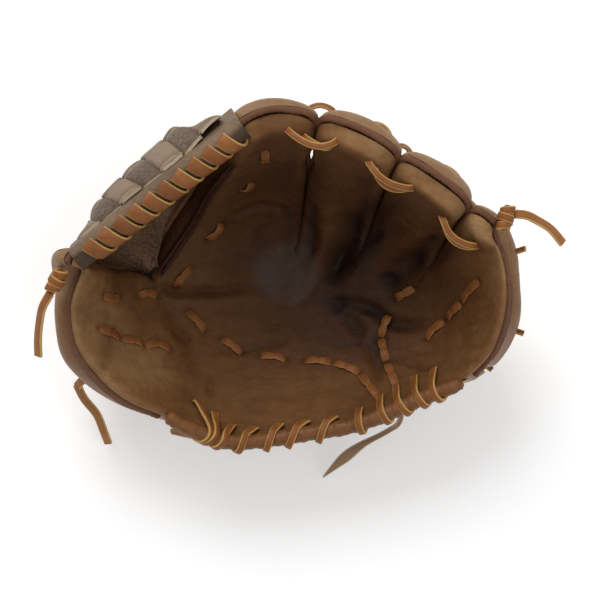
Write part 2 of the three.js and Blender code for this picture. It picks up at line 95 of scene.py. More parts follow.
DIGITS = {
    "thumb": stall("thumb", (0, 2), (0, CROTCH), (9, 8), swell=(BULGE, 0)),
    "index": stall("finger", (0, 1.5), (CROTCH, SPLIT), (9, 11), peep=(0, 1)),
    "middle": stall("finger", (1.5, 2.5), (SPLIT, SPLIT), (11, 13), peep=(1, 0)),
    "ring": stall("finger", (2.5, 3.5), (SPLIT, SPLIT), (13, 13)),
    "pinky": stall("finger", (3.5, 5), (SPLIT, 0), (13, 9), swell=(0, BULGE)),
    "hand": stall("finger", (0, 5), (CROTCH, 0), (9, 9), swell=(0, BULGE)),
}
FINGERS = ["index", "middle", "ring", "pinky"]

# The free lace ends: the same routes as their CAD solids.
TAILS = {
    "thumb_tip": [(-143, -10, 127), (-148, -17, 121), (-151, -25, 112), (-153, -33, 103), (-154, -41, 94)],
    "thumb_heel": [(-136, -54, 55), (-133, -61, 44), (-127, -69, 30), (-124, -78, 18), (-122, -85, 8)],
    "heel": [(57, -80, 60), (49, -84, 51), (38, -89, 39), (26, -97, 22), (15, -106, 5)],
    "pinky_tip": [(123, 34, 139), (129, 33.5, 138), (135, 31.5, 135), (144, 27.5, 129), (152, 21, 121)],
}
KNOTS = {"thumb_tip": (-139, -3, 130), "pinky_tip": (117, 32, 139)}


# ---- Small maths ----
def metres(points):
    return (np.asarray(points, float) + CENTRING) * MM


def mix(a, b, t):
    return a + (b - a) * t


def smooth(start, end, x):
    t = np.clip((x - start) / (end - start), 0, 1)
    return t * t * (3 - 2 * t)


def unit(v):
    return v / np.maximum(np.linalg.norm(v, axis=-1, keepdims=True), 1e-9)


def catmull(a, b, c, d, t):
    t = np.asarray(t, float)[..., None]
    return 0.5 * (2 * b + (-a + c) * t + (2 * a - 5 * b + 4 * c - d) * t**2
                  + (-a + 3 * b - 3 * c + d) * t**3)


def along(points, s):
    """Points at s (0 to 1) on a curve through evenly spaced points."""
    rib = np.array(points, float)
    rib = np.vstack([2 * rib[0] - rib[1], rib, 2 * rib[-1] - rib[-2]])
    at = np.clip(np.asarray(s, float), 0, 1) * (len(points) - 1)
    i = np.minimum(at.astype(int), len(points) - 2)
    return catmull(rib[i], rib[i + 1], rib[i + 2], rib[i + 3], at - i)


def profile(values, s):
    return np.interp(s, PROFILE_S, values)


# ---- The palm-side surface: u runs across the ribs, s from heel to tips ----
def rib_row(side, s):
    """The ribs at s, with one more on each side that sets the slope there."""
    def at(name):
        own = along(RIBS[name], s)
        if name.endswith("inner"):
            return np.where((s <= CROTCH)[..., None], along(RIBS["fold"], s), own)
        return own
    free = smooth(CROTCH - 0.04, CROTCH + 0.1, s)[..., None]
    if side == "thumb":
        row = [at(n) for n in ("thumb_outer", "thumb_middle", "thumb_inner")]
        after = mix(at("index"), 2 * row[2] - row[1], free)
        return [2 * row[0] - row[1], *row, after]
    row = [at(n) for n in ("index_inner", "index", "middle", "ring", "pinky", "pinky_outer")]
    before = mix(at("thumb_middle"), 2 * row[0] - row[1], free)
    return [before, *row, 2 * row[5] - row[4]]


def patch(side, u, s):
    u, s = np.broadcast_arrays(np.asarray(u, float), np.asarray(s, float))
    row = np.stack(rib_row(side, s))
    i = np.clip(np.floor(u), 0, len(row) - 4).astype(int)
    a, b, c, d = (np.take_along_axis(row, (i + k)[None, ..., None], 0)[0] for k in range(4))
    return catmull(a, b, c, d, u - i)


def frame_at(side, u, s):
    """The surface's point, its across, forward and outward directions, and the way down to the back."""
    u, s = np.broadcast_arrays(np.asarray(u, float), np.asarray(s, float))
    step = 0.01
    s0, s1 = np.clip(s - step, 0, 1), np.clip(s + step, 0, 1)
    across = (patch(side, u + step, s) - patch(side, u - step, s)) / (2 * step)
    forward = (patch(side, u, s1) - patch(side, u, s0)) / (s1 - s0)[..., None]
    out = unit(np.cross(across, forward))
    heel = 1 - smooth(0.1, 0.6, s)[..., None]
    down = unit(mix(-out, np.array([0, 0.05, -1.0]), heel))
    outer = np.clip(1 - u / 1.2, 0, 1) if side == "thumb" else np.clip((u - 3.5) / 1.5, 0, 1)
    down = unit(mix(down, np.array([0, 0, -1.0]), OUTER_PLUMB * outer[..., None] ** 2))
    return patch(side, u, s), across, forward, out, down


def palm_at(big_u, s):
    """Point and outward direction where big_u runs -2..0 over the thumb side and 0..5 over the rest."""
    big_u, s = np.broadcast_arrays(np.asarray(big_u, float), np.asarray(s, float))
    point_t, _, _, out_t, _ = frame_at("thumb", np.clip(big_u + 2, 0, 2), s)
    point_f, _, _, out_f, _ = frame_at("finger", np.clip(big_u, 0, 5), s)
    on_thumb = (big_u < 0)[..., None]
    return np.where(on_thumb, point_t, point_f), np.where(on_thumb, out_t, out_f)


# ---- Digits ----
def corner(edge, radius, power):
    """0 on the flat, 1 at the edge."""
    x = np.clip(1 - edge / radius, 0, 1)
    return 1 - (1 - x**power) ** (1 / power)


def by_side(pair, a):
    return np.where(a < 0, pair[0], pair[1])


def openness(free, s):
    return np.ones_like(s) if free == 0 else smooth(free - 0.08, free + 0.08, s)


def digit_state(name, a, s):
    """What front_point and back_point share."""
    digit = DIGITS[name]
    a, s = np.broadcast_arrays(np.asarray(a, float), np.asarray(s, float))
    middle = sum(digit["span"]) / 2
    span = digit["span"][1] - digit["span"][0]
    _, _, forward, _, _ = frame_at(digit["side"], middle, 0.97)
    rate = float(np.linalg.norm(forward))
    cap_from = 1 - TIP_CAP / rate
    in_cap = np.clip((s - cap_from) / (1 - cap_from), 0, 1)
    rounded = np.sqrt(1 - in_cap**2)
    planform = (1 - in_cap**2.6) ** (1 / 2.6)
    _, across, _, _, _ = frame_at(digit["side"], middle, s)
    width = np.linalg.norm(across, axis=-1) * span
    opened = np.where(a < 0, openness(digit["free"][0], s), openness(digit["free"][1], s))
    peep = by_side(digit["peep"], a) * PEEP["inset"] * np.exp(-(((s - PEEP["s"]) / PEEP["reach"]) ** 2))
    return dict(digit=digit, a=a, s=s, peep=peep, middle=middle, span=span, rate=rate, rounded=rounded,
                planform=planform, width=width, opened=opened, depth=profile(DEPTH_ALONG, s),
                seam=profile(SEAM_ALONG, s), cap_from=cap_from)


def front_drop(name, a, s):
    """How far round the front corner a point is: 0 on the palm face, 1 at the seam."""
    state = digit_state(name, a, s)
    to_side = (1 - np.abs(state["a"])) / 2 * state["width"]
    side = corner(to_side, by_side(state["digit"]["corner"], state["a"]), 2.4) * state["opened"]
    tip = corner((1 - state["s"]) * state["rate"], TIP_CORNER, 2.8)
    return 1 - (1 - side) * (1 - tip)


def front_point(name, a, s, inset=0.0):
    state = digit_state(name, a, s)
    a, s = state["a"], state["s"]
    dropped = front_drop(name, a, s)
    side_inset = (mix(SLIT_INSET, TOUCHING, dropped) + state["peep"] + inset) * state["opened"]
    narrow = 0.4 + 0.6 * state["planform"]
    half = state["span"] / 2 * (1 - 2 * side_inset / state["width"]) * narrow
    point, _, _, _, down = frame_at(state["digit"]["side"], state["middle"] + half * a, s)
    lip = state["depth"] * state["seam"] - SEAM_HALF_GAP
    drop = np.minimum(dropped * lip + inset, lip)
    return point + down * drop[..., None]


def back_point(name, a, s, inset=0.0):
    state = digit_state(name, a, s)
    a, s, rounded = state["a"], state["s"], state["planform"]
    side_inset = (TOUCHING + state["peep"] + inset) * state["opened"]
    half = state["span"] / 2 * (1 - 2 * side_inset / state["width"]) * (0.4 + 0.6 * rounded)
    point, across, _, _, down = frame_at(state["digit"]["side"], state["middle"] + half * a, s)
    seam_drop = state["depth"] * state["seam"]
    deep = state["depth"] - seam_drop - SEAM_HALF_GAP
    to_side = (1 - np.abs(a)) / 2 * state["width"]
    rise = corner(to_side, BACK_CORNER, 2.2) * state["opened"]
    sunk = inset * (1 - state["opened"] * np.abs(a) ** 8)
    height = np.maximum(deep * (1 - rise) - sunk, 0) * rounded
    swell = by_side(state["digit"]["swell"], a) * np.where(a < 0, mix(0.45, 1, smooth(0.15, 0.6, s)), 1)
    lean = swell * np.sin(np.pi * np.clip(rise, 0, 1)) * rounded * np.sign(a)
    result = point + unit(across * np.array([1, 1, 0])) * lean[..., None]
    result = result + down * (seam_drop + SEAM_HALF_GAP + height)[..., None]
    result[..., 2] = np.maximum(result[..., 2], inset)
    return result


def seam_point(name, a, s, proud):
    state = digit_state(name, a, s)
    a, s = state["a"], state["s"]
    middle = (front_point(name, a, s) + back_point(name, a, s)) / 2
    _, across, forward, _, _ = frame_at(state["digit"]["side"], state["middle"], s)
    at_tip = ((s > 0.995) & (np.abs(a) < 0.9))[..., None]
    outward = unit(np.where(at_tip, forward, across * a[..., None]))
    return middle + outward * np.asarray(proud)[..., None]


# ---- Web ----
def seam_edge(name, a, b):
    """The seam of a digit beside the web, at b up the web."""
    s = CROTCH + (1 - CROTCH) * np.clip(b, 0, 1)
    return seam_point(name, np.full(s.shape, float(a)), s, np.zeros(s.shape))


def web_point(a, b, outside=0.0):
    """A bowl-shaped panel: a runs from thumb to index, b from the crotch up to the rolled edge.
    Its sides run down to the seams of the thumb and the index, apart from near the rolled edge."""
    a, b, outside = np.broadcast_arrays(*(np.asarray(x, float) for x in (a, b, outside)))
    step = 0.01

    def flat(x, y):
        return mix(along(WEB_AT_THUMB, y), along(WEB_AT_INDEX, y), x[..., None])

    inner = np.clip(b, step, 1 - step)
    across = flat(a + step, b) - flat(a - step, b)
    up = flat(a, inner + step) - flat(a, inner - step)
    away = unit(np.cross(up, across))
    bowl = WEB_BOWL * np.sin(np.pi * a) * np.sqrt(np.clip(np.sin(np.pi * np.clip(b, 0, 1)), 0, 1))
    held = (1 - smooth(0.88, 1.0, b))[..., None]
    at_thumb = (1 - smooth(0.0, 0.3, a))[..., None] * held
    at_index = smooth(0.75, 1.0, a)[..., None] * held
    flat_point = flat(a, b)
    flat_point = flat_point + at_thumb * (seam_edge("thumb", 1, b) - flat(np.zeros_like(a), b))
    flat_point = flat_point + at_index * (seam_edge("index", -1, b) - flat(np.ones_like(a), b))
    return flat_point + away * (bowl + outside)[..., None]


# ---- Meshes ----
def grid_faces(columns, rows, base=0, closed=False):
    """Quads of a grid whose points are numbered column by column."""
    index = base + np.arange(columns * rows).reshape(columns, rows)
    if closed:
        index = np.vstack([index, index[:1]])
    quads = np.stack([index[:-1, :-1], index[1:, :-1], index[1:, 1:], index[:-1, 1:]], -1)
    return quads.reshape(-1, 4).tolist()


def point_normals(points, faces):
    quads = np.array([f if len(f) == 4 else (*f, f[-1]) for f in faces])
    corners = points[quads]
    normal = np.cross(corners[:, 2] - corners[:, 0], corners[:, 3] - corners[:, 1])
    total = np.zeros_like(points)
    for k in range(4):
        np.add.at(total, quads[:, k], normal)
    return unit(total)


class Piece:
    """Gathers shells, then becomes one mesh object. Each shell brings a finish for each face."""

    def __init__(self):
        self.points, self.faces, self.finishes, self.tones = [], [], [], []
        self.count = 0

    def shell(self, points, faces, finish=0, tone=0.5):
        points = np.asarray(points, float).reshape(-1, 3)
        self.points.append(points)
        self.faces.extend([[i + self.count for i in face] for face in faces])
        finishes = [finish] * len(faces) if np.isscalar(finish) else list(finish)
        self.finishes.extend(finishes)
        self.tones.append(np.broadcast_to(np.asarray(tone, float).reshape(-1), (len(points),)))
        self.count += len(points)
        return self

    def thick(self, points, faces, thickness, tone=0.5, rim=0, normals=None):
        """A sheet given its outer side: thickened inward, with its rim closed."""
        points = np.asarray(points, float).reshape(-1, 3)
        if normals is None:
            normals = point_normals(points, faces)
        inner = points - normals * np.asarray(thickness).reshape(-1, 1)
        tone = np.broadcast_to(np.asarray(tone, float).reshape(-1), (len(points),))
        return self.slab(points, inner, faces, np.tile(tone, 2), 0, rim)

    def slab(self, top, bottom, faces, tone, finish, rim):
        """Two matching sheets, with walls along their open edges."""
        count = len(top)
        edges = dict.fromkeys((p, q) for face in faces for p, q in zip(face, face[1:] + face[:1]))
        walls = [[q, p, p + count, q + count] for p, q in edges if (q, p) not in edges]
        back = [[i + count for i in reversed(face)] for face in faces]
        finishes = [finish] * (2 * len(faces)) + [rim] * len(walls)
        return self.shell(np.vstack([top, bottom]), faces + back + walls, finishes, tone)

    def ribbon(self, path, normals, width, thick=1.8, edge=1, tone=0.5):
        """A flat thong along a path: width across, thick along the normals, pale cut edges."""
        path = np.asarray(path, float)
        tangent = unit(np.gradient(path, axis=0))
        normals = np.broadcast_to(np.asarray(normals, float), path.shape)
        normals = unit(normals - tangent * np.sum(normals * tangent, -1, keepdims=True))
        side = np.cross(tangent, normals)
        width = np.broadcast_to(np.asarray(width, float), (len(path),))[:, None, None]
        chamfer = 0.28 * thick
        # The section's eight corners: which side, top or bottom, and 1 for those on the broad faces.
        section = [(-1, -1, 1), (1, -1, 1), (1, -1, 0), (1, 1, 0),
                   (1, 1, 1), (-1, 1, 1), (-1, 1, 0), (-1, -1, 0)]
        ring = []
        for sign, level, on_face in section:
            across = sign * (width / 2 - chamfer * on_face)
            height = level * (thick / 2 - chamfer * (1 - on_face))
            ring.append(path[:, None] + side[:, None] * across + normals[:, None] * height)
        points = np.concatenate(ring, 1)
        count, corners = points.shape[:2]
        faces, finish = [], []
        for i in range(count - 1):
            for k in range(corners):
                a, b = i * corners + k, i * corners + (k + 1) % corners
                faces.append([a, b, b + corners, a + corners])
                finish.append(0 if k in (0, 4) else edge)
        faces.append(list(range(corners))[::-1])
        faces.append([(count - 1) * corners + k for k in range(corners)])
        finish += [edge, edge]
        return self.shell(points.reshape(-1, 3), faces, finish, tone)

    def tube(self, path, radius, sides=10, tone=0.5, finish=0):
        """A round tube along a path, closed with rounded ends."""
        path = np.asarray(path, float)
        tangent = unit(np.gradient(path, axis=0))
        vertical = np.array([0, 0, 1.0])
        up = unit(vertical - tangent * tangent[:, 2:])
        side = np.cross(tangent, up)
        radius = np.broadcast_to(np.asarray(radius, float), (len(path),))
        angle = np.linspace(0, 2 * np.pi, sides, endpoint=False)
        turn = side[:, None] * np.cos(angle)[None, :, None] + up[:, None] * np.sin(angle)[None, :, None]
        ring = turn * radius[:, None, None]
        rings = path[:, None] + ring
        ends = [path[:1, None] + 0.55 * ring[:1] - tangent[:1, None] * radius[0] * 0.45,
                path[-1:, None] + 0.55 * ring[-1:] + tangent[-1:, None] * radius[-1] * 0.45]
        rings = np.concatenate([ends[0], rings, ends[1]])
        count = len(rings)
        faces = []
        for i in range(count - 1):
            for k in range(sides):
                a, b = i * sides + k, i * sides + (k + 1) % sides
                faces.append([a, b, b + sides, a + sides])
        faces.append(list(range(sides))[::-1])
        faces.append([(count - 1) * sides + k for k in range(sides)])
        return self.shell(rings.reshape(-1, 3), faces, finish, tone)

    def build(self, name, materials, extra=None, sharp=50):
        mesh = bpy.data.meshes.new(name)
        points = metres(np.vstack(self.points))
        mesh.from_pydata(points.tolist(), [], self.faces)
        for material in materials:
            mesh.materials.append(material)
        mesh.polygons.foreach_set("material_index", self.finishes)
        work = bmesh.new()
        work.from_mesh(mesh)
        bmesh.ops.recalc_face_normals(work, faces=work.faces)
        work.to_mesh(mesh)
        work.free()
        mesh.polygons.foreach_set("use_smooth", [True] * len(mesh.polygons))
        mesh.set_sharp_from_angle(angle=np.radians(sharp))
        fields = {"tone": np.concatenate(self.tones), **(extra or {})}
        for key, values in fields.items():
            mesh.attributes.new(key, "FLOAT", "POINT").data.foreach_set("value", values.astype(np.float32))
        rest = mesh.attributes.new("rest", "FLOAT_VECTOR", "POINT")
        rest.data.foreach_set("vector", points.astype(np.float32).reshape(-1))
        obj = bpy.data.objects.new(name, mesh)
        bpy.context.scene.collection.objects.link(obj)
        return obj


def spline(points, count):
    """Evenly spaced points on a smooth curve through the given ones."""
    fine = along(points, np.linspace(0, 1, 40 * len(points)))
    gone = np.concatenate([[0], np.cumsum(np.linalg.norm(np.diff(fine, axis=0), axis=1))])
    want = np.linspace(0, gone[-1], count)
    return np.stack([np.interp(want, gone, fine[:, k]) for k in range(3)], -1)


# ---- Materials ----
class Nodes:
    def __init__(self, name):
        self.material = bpy.data.materials.new(name)
        self.material.use_nodes = True
        self.tree = self.material.node_tree
        self.tree.nodes.clear()
        out = self.tree.nodes.new("ShaderNodeOutputMaterial")
        self.bsdf = self.tree.nodes.new("ShaderNodeBsdfPrincipled")
        self.tree.links.new(self.bsdf.outputs[0], out.inputs[0])

    def put(self, socket, value):
        if isinstance(value, bpy.types.NodeSocket):
            self.tree.links.new(value, socket)
        elif value is not None:
            socket.default_value = value

    def node(self, kind, out=0, settings=None, **inputs):
        made = self.tree.nodes.new("ShaderNode" + kind)
        for key, value in (settings or {}).items():
            setattr(made, key, value)
        for key, value in inputs.items():
            key = int(key[1:]) if key[0] == "i" and key[1:].isdigit() else key.replace("_", " ")
            self.put(made.inputs[key], value)
        return made.outputs[out]

    def attribute(self, name, out="Fac"):
        return self.node("Attribute", out, {"attribute_name": name})

    def math(self, operation, a, b=0.0, clamp=False):
        return self.node("Math", 0, {"operation": operation, "use_clamp": clamp}, i0=a, i1=b)

    def noise(self, scale, detail=3.0, distortion=0.0, vector=None):
        return self.node("TexNoise", "Fac", None, Vector=vector or self.rest, Scale=scale, Detail=detail,
                         Distortion=distortion)

    @property
    def rest(self):
        return self.attribute("rest", "Vector")

    def ramp(self, factor, stops):
        made = self.tree.nodes.new("ShaderNodeValToRGB")
        ramp = made.color_ramp
        while len(ramp.elements) < len(stops):
            ramp.elements.new(0.5)
        for element, (place, colour) in zip(ramp.elements, stops):
            element.position = place
            element.color = (*colour, 1)
        self.put(made.inputs[0], factor)
        return made.outputs[0]

    def mix_colour(self, factor, a, b, kind="MIX"):
        made = self.tree.nodes.new("ShaderNodeMix")
        made.data_type = "RGBA"
        made.blend_type = kind
        self.put(made.inputs[0], factor)
        self.put(made.inputs[6], a if isinstance(a, bpy.types.NodeSocket) else (*a, 1))
        self.put(made.inputs[7], b if isinstance(b, bpy.types.NodeSocket) else (*b, 1))
        return made.outputs[2]

    def bump(self, height, distance, strength=1.0, normal=None):
        return self.node("Bump", 0, None, Height=height, Distance=distance, Strength=strength, Normal=normal)


def shades(dark, usual, light):
    return [(0.0, dark), (0.5, usual), (1.0, light)]


def leather(name, stops, blotch=0.14, streak=0.10, grain_scale=900, grain_depth=0.00012, rough=(0.5, 0.68),
            stain=None, pebble=0, pebble_depth=0.0, specular=0.22, wrinkles=0.3, burnish=None):
    """Oiled leather: tone-driven colour with mottling, pores and creased grain, with painted shade in the
    creases and between pebbles.
    """
    n = Nodes(name)
    tone = n.attribute("tone")
    large = n.noise(22, 4, 0.4)
    middle = n.noise(120, 5, 0.8)
    stretched = n.node("VectorMath", 0, {"operation": "MULTIPLY"}, i0=n.rest, i1=(1.0, 0.28, 0.6))
    fibres = n.noise(420, 4, 0.3, stretched)
    shade = n.math("ADD", tone, n.math("MULTIPLY", n.math("SUBTRACT", large, 0.5), 2 * blotch))
    shade = n.math("ADD", shade, n.math("MULTIPLY", n.math("SUBTRACT", middle, 0.5), 1.3 * streak))
    shade = n.math("ADD", shade, n.math("MULTIPLY", n.math("SUBTRACT", fibres, 0.5), streak))
    colour = n.ramp(shade, stops)
    if stain:
        spread = n.ramp(n.noise(38, 5, 1.2), [(0.42, (0, 0, 0)), (0.68, (1, 1, 1))])
        colour = n.mix_colour(n.math("MULTIPLY", spread, 0.45), colour, stain)
    grain = n.node("TexVoronoi", "Distance", {"feature": "SMOOTH_F1"}, Vector=n.rest, Scale=grain_scale,
                   Smoothness=0.6)
    height = n.math("ADD", n.math("MULTIPLY", grain, 1.0), n.math("MULTIPLY", n.noise(2200, 2), 0.35))
    normal = n.bump(height, grain_depth, 0.8)
    normal = n.bump(middle, 0.0009, 0.6, normal)
    folds = n.node("VectorMath", 0, {"operation": "MULTIPLY"}, i0=n.rest, i1=(0.45, 1.0, 1.0))
    ridges = n.math("ABSOLUTE", n.math("SUBTRACT", n.noise(75, 4, 1.6, folds), 0.5))
    fine_lines = n.math("SUBTRACT", 1.0, n.math("MULTIPLY", ridges, 13.0, True))
    normal = n.bump(fine_lines, -0.0005, wrinkles, normal)
    # Painted shade along the fine creases.
    colour = n.mix_colour(n.math("MULTIPLY", fine_lines, 0.30 * wrinkles), colour, stops[0][1])
    if pebble:
        cells = n.node("TexVoronoi", "Distance", {"feature": "SMOOTH_F1"}, Vector=n.rest, Scale=pebble,
                       Smoothness=0.35)
        normal = n.bump(n.math("SUBTRACT", 1.0, cells), pebble_depth, 1.0, normal)
        # Painted shade in the grooves between the pebbles.
        colour = n.mix_colour(n.math("MULTIPLY", cells, 0.6, True), colour, (0.012, 0.007, 0.005))
    if burnish:
        colour = n.mix_colour(n.math("MULTIPLY", n.attribute("burnish"), n.ramp(n.noise(55, 4, 0.8), [
            (0.35, (0.35, 0.35, 0.35)), (0.62, (0.85, 0.85, 0.85))])), colour, burnish)
    low, high = rough
    level = n.math("ADD", n.math("MULTIPLY", n.math("SUBTRACT", middle, 0.5), 0.35), (low + high) / 2)
    level = n.math("ADD", level, n.math("MULTIPLY", n.math("SUBTRACT", tone, 0.5), high - low))
    n.put(n.bsdf.inputs["Base Color"], colour)
    n.put(n.bsdf.inputs["Roughness"], level)
    n.put(n.bsdf.inputs["Normal"], normal)
    n.bsdf.inputs["Specular IOR Level"].default_value = specular
    return n.material


def fibre(name, light, dark, scale, depth, rough, sheen):
    """Felt or fleece: tangled fibres."""
    n = Nodes(name)
    tangle = n.noise(scale, 6, 1.5)
    tufts = n.noise(scale / 7, 3, 0.6)
    n.put(n.bsdf.inputs["Base Color"], n.mix_colour(n.math("MULTIPLY", tangle, tufts), dark, light))
    n.put(n.bsdf.inputs["Normal"], n.bump(n.math("ADD", tangle, tufts), depth))
    n.bsdf.inputs["Roughness"].default_value = rough
    n.bsdf.inputs["Sheen Weight"].default_value = sheen
    return n.material


POCKET_DARK = (0.012, 0.0060, 0.0045)
POCKET = (0.034, 0.0170, 0.0105)
OILED = (0.072, 0.0300, 0.0125)
PALM = (0.118, 0.0510, 0.0190)
HEEL = (0.168, 0.0760, 0.0270)
RIM = (0.245, 0.1250, 0.0500)
TIP = (0.320, 0.1850, 0.0820)
PALM_STOPS = [(0.0, POCKET_DARK), (0.17, POCKET), (0.36, OILED), (0.52, PALM), (0.68, HEEL), (0.84, RIM),
              (1.0, TIP)]

palm_leather = leather("palm_leather", PALM_STOPS, stain=(0.100, 0.037, 0.013), wrinkles=0.30, specular=0.12,
                       burnish=(0.085, 0.062, 0.052))
back_leather = leather("back_leather", [(0.0, OILED), (0.35, HEEL), (0.65, RIM), (1.0, (0.40, 0.26, 0.145))],
                       blotch=0.12, grain_scale=700, rough=(0.42, 0.55), specular=0.35)
welt_leather = leather("welt_leather",
                       shades((0.030, 0.010, 0.006), (0.110, 0.042, 0.022), (0.23, 0.11, 0.06)),
                       grain_scale=1200, rough=(0.5, 0.6), specular=0.12)
binding_leather = leather("binding_leather",
                          shades((0.05, 0.018, 0.007), (0.20, 0.08, 0.025), (0.32, 0.15, 0.055)),
                          grain_scale=900, rough=(0.36, 0.5))
lace_leather = leather("lace_leather",
                       shades((0.075, 0.024, 0.006), (0.245, 0.082, 0.018), (0.45, 0.19, 0.058)),
                       blotch=0.16, streak=0.16, grain_scale=1500, rough=(0.42, 0.56), specular=0.3)
lace_edge = leather("lace_edge", shades((0.20, 0.095, 0.02), (0.50, 0.29, 0.085), (0.70, 0.49, 0.22)),
                    blotch=0.2, grain_scale=2200, rough=(0.6, 0.8))
stitch_lace = leather("stitch_lace", shades((0.055, 0.018, 0.005), (0.235, 0.08, 0.02), (0.42, 0.17, 0.05)),
                      blotch=0.16, streak=0.16, grain_scale=1500, rough=(0.36, 0.5))
stitch_edge = leather("stitch_edge", shades((0.12, 0.05, 0.014), (0.33, 0.16, 0.05), (0.55, 0.33, 0.13)),
                      blotch=0.2, grain_scale=2200, rough=(0.6, 0.8))
worn_lace = leather("worn_lace", shades((0.10, 0.06, 0.03), (0.235, 0.13, 0.062), (0.36, 0.23, 0.13)),
                    grain_scale=1500, rough=(0.5, 0.65))
web_leather = leather("web_leather",
                      shades((0.045, 0.023, 0.013), (0.185, 0.098, 0.054), (0.33, 0.20, 0.115)),
                      pebble=420, pebble_depth=0.0009, rough=(0.42, 0.6))
weave_leather = leather("weave_leather",
                        shades((0.07, 0.042, 0.026), (0.21, 0.135, 0.084), (0.37, 0.265, 0.185)),
                        grain_scale=650, grain_depth=0.00022, rough=(0.48, 0.66))
weave_pebbled = leather("weave_pebbled",
                        shades((0.05, 0.032, 0.02), (0.17, 0.112, 0.072), (0.30, 0.215, 0.15)),
                        pebble=450, pebble_depth=0.0008, rough=(0.48, 0.66))
roll_leather = leather("roll_leather", shades((0.06, 0.035, 0.02), (0.215, 0.142, 0.088), (0.36, 0.26, 0.18)),
                       grain_scale=500, grain_depth=0.0003, rough=(0.5, 0.66), wrinkles=0.5)
raw_edge = leather("raw_edge", shades((0.30, 0.21, 0.13), (0.52, 0.41, 0.29), (0.70, 0.60, 0.47)),
                   blotch=0.2, grain_scale=2200, rough=(0.7, 0.9))
lining_leather = leather("lining_leather",
                         shades((0.12, 0.065, 0.03), (0.33, 0.20, 0.10), (0.48, 0.33, 0.19)),
                         rough=(0.6, 0.8))
thread = fibre("thread", (0.36, 0.22, 0.14), (0.14, 0.075, 0.045), 3000, 0.0002, 0.7, 0.1)
felt = fibre("felt", (0.50, 0.37, 0.22), (0.30, 0.20, 0.11), 900, 0.0005, 0.95, 0.05)
fleece = fibre("fleece", (0.80, 0.72, 0.58), (0.50, 0.42, 0.30), 420, 0.0022, 0.98, 0.25)


def finish_piece(obj, replaces=(), body="palm"):
    if replaces:
        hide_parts(*replaces)
    if body == "fold":
        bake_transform(obj)
    elif body == "web":
        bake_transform(obj)
    else:
        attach(obj, body)


def finish_lace(piece, name, replaces=(), body="palm"):
    finish_piece(piece.build(name, [lace_leather, lace_edge]), replaces, body)


# The thumb side's fold line, from the heel to the crotch.
FOLD_HEEL = metres((-43, -88, 0))
FOLD_CROTCH = metres((-89, 11, 0))
FOLD_ALONG = unit(FOLD_CROTCH - FOLD_HEEL)
WEB_START = tuple(metres(WEB_AT_INDEX[2]))
WEB_END = tuple(metres(WEB_AT_THUMB[2]))

# ---- Camera ----
AIM = Vector(metres((0, 0, 50)))
camera = bpy.data.objects.new("camera", bpy.data.cameras.new("camera"))
bpy.context.scene.collection.objects.link(camera)
ELEVATION = np.radians(80)
camera.location = AIM + Vector((0, -np.cos(ELEVATION), np.sin(ELEVATION)))
camera.rotation_euler = (AIM - camera.location).to_track_quat("-Z", "Y").to_euler()
camera.data.lens = 96.8
camera.data.sensor_width = 36
bpy.context.scene.camera = camera

# ---- Free lace ends ----
THONG = 5.2
TAIL_THICK = 2.2
TAIL_FACING = {"thumb_tip": (-0.3, -0.2, 1), "thumb_heel": (-0.1, -0.3, 1), "heel": (0.1, -0.3, 1),
               "pinky_tip": (0.1, -0.1, 1)}


def add_tail(name, body):
    path = spline(TAILS[name], 24)
    t = np.linspace(0, 1, len(path))
    width = np.full(len(path), THONG)
    materials = [lace_leather, lace_edge]
    if name == "heel":
        leaf = 0.62 + 0.72 * np.exp(-((t - 0.62) / 0.24) ** 2)
        width = THONG * leaf * np.sqrt(np.clip(1.06 - t**6, 0.06, 1))
        materials = [worn_lace, raw_edge]
    normals = unit(np.array(TAIL_FACING[name], float) + 0.25 * np.sin(3 * t)[:, None] * np.array([0, 1, 0]))
    tone = 0.62 + 0.2 * t
    piece = Piece().ribbon(path, normals, width, TAIL_THICK, tone=np.repeat(tone, 8))
    obj = piece.build(f"{name}_lace_end", materials)
    metres(path[0])
    metres(path)
    finish_piece(obj, [f"{name}_tail"], body)


for tail_name in TAILS:
    add_tail(tail_name, "thumb_side" if tail_name.startswith("thumb") else "palm")
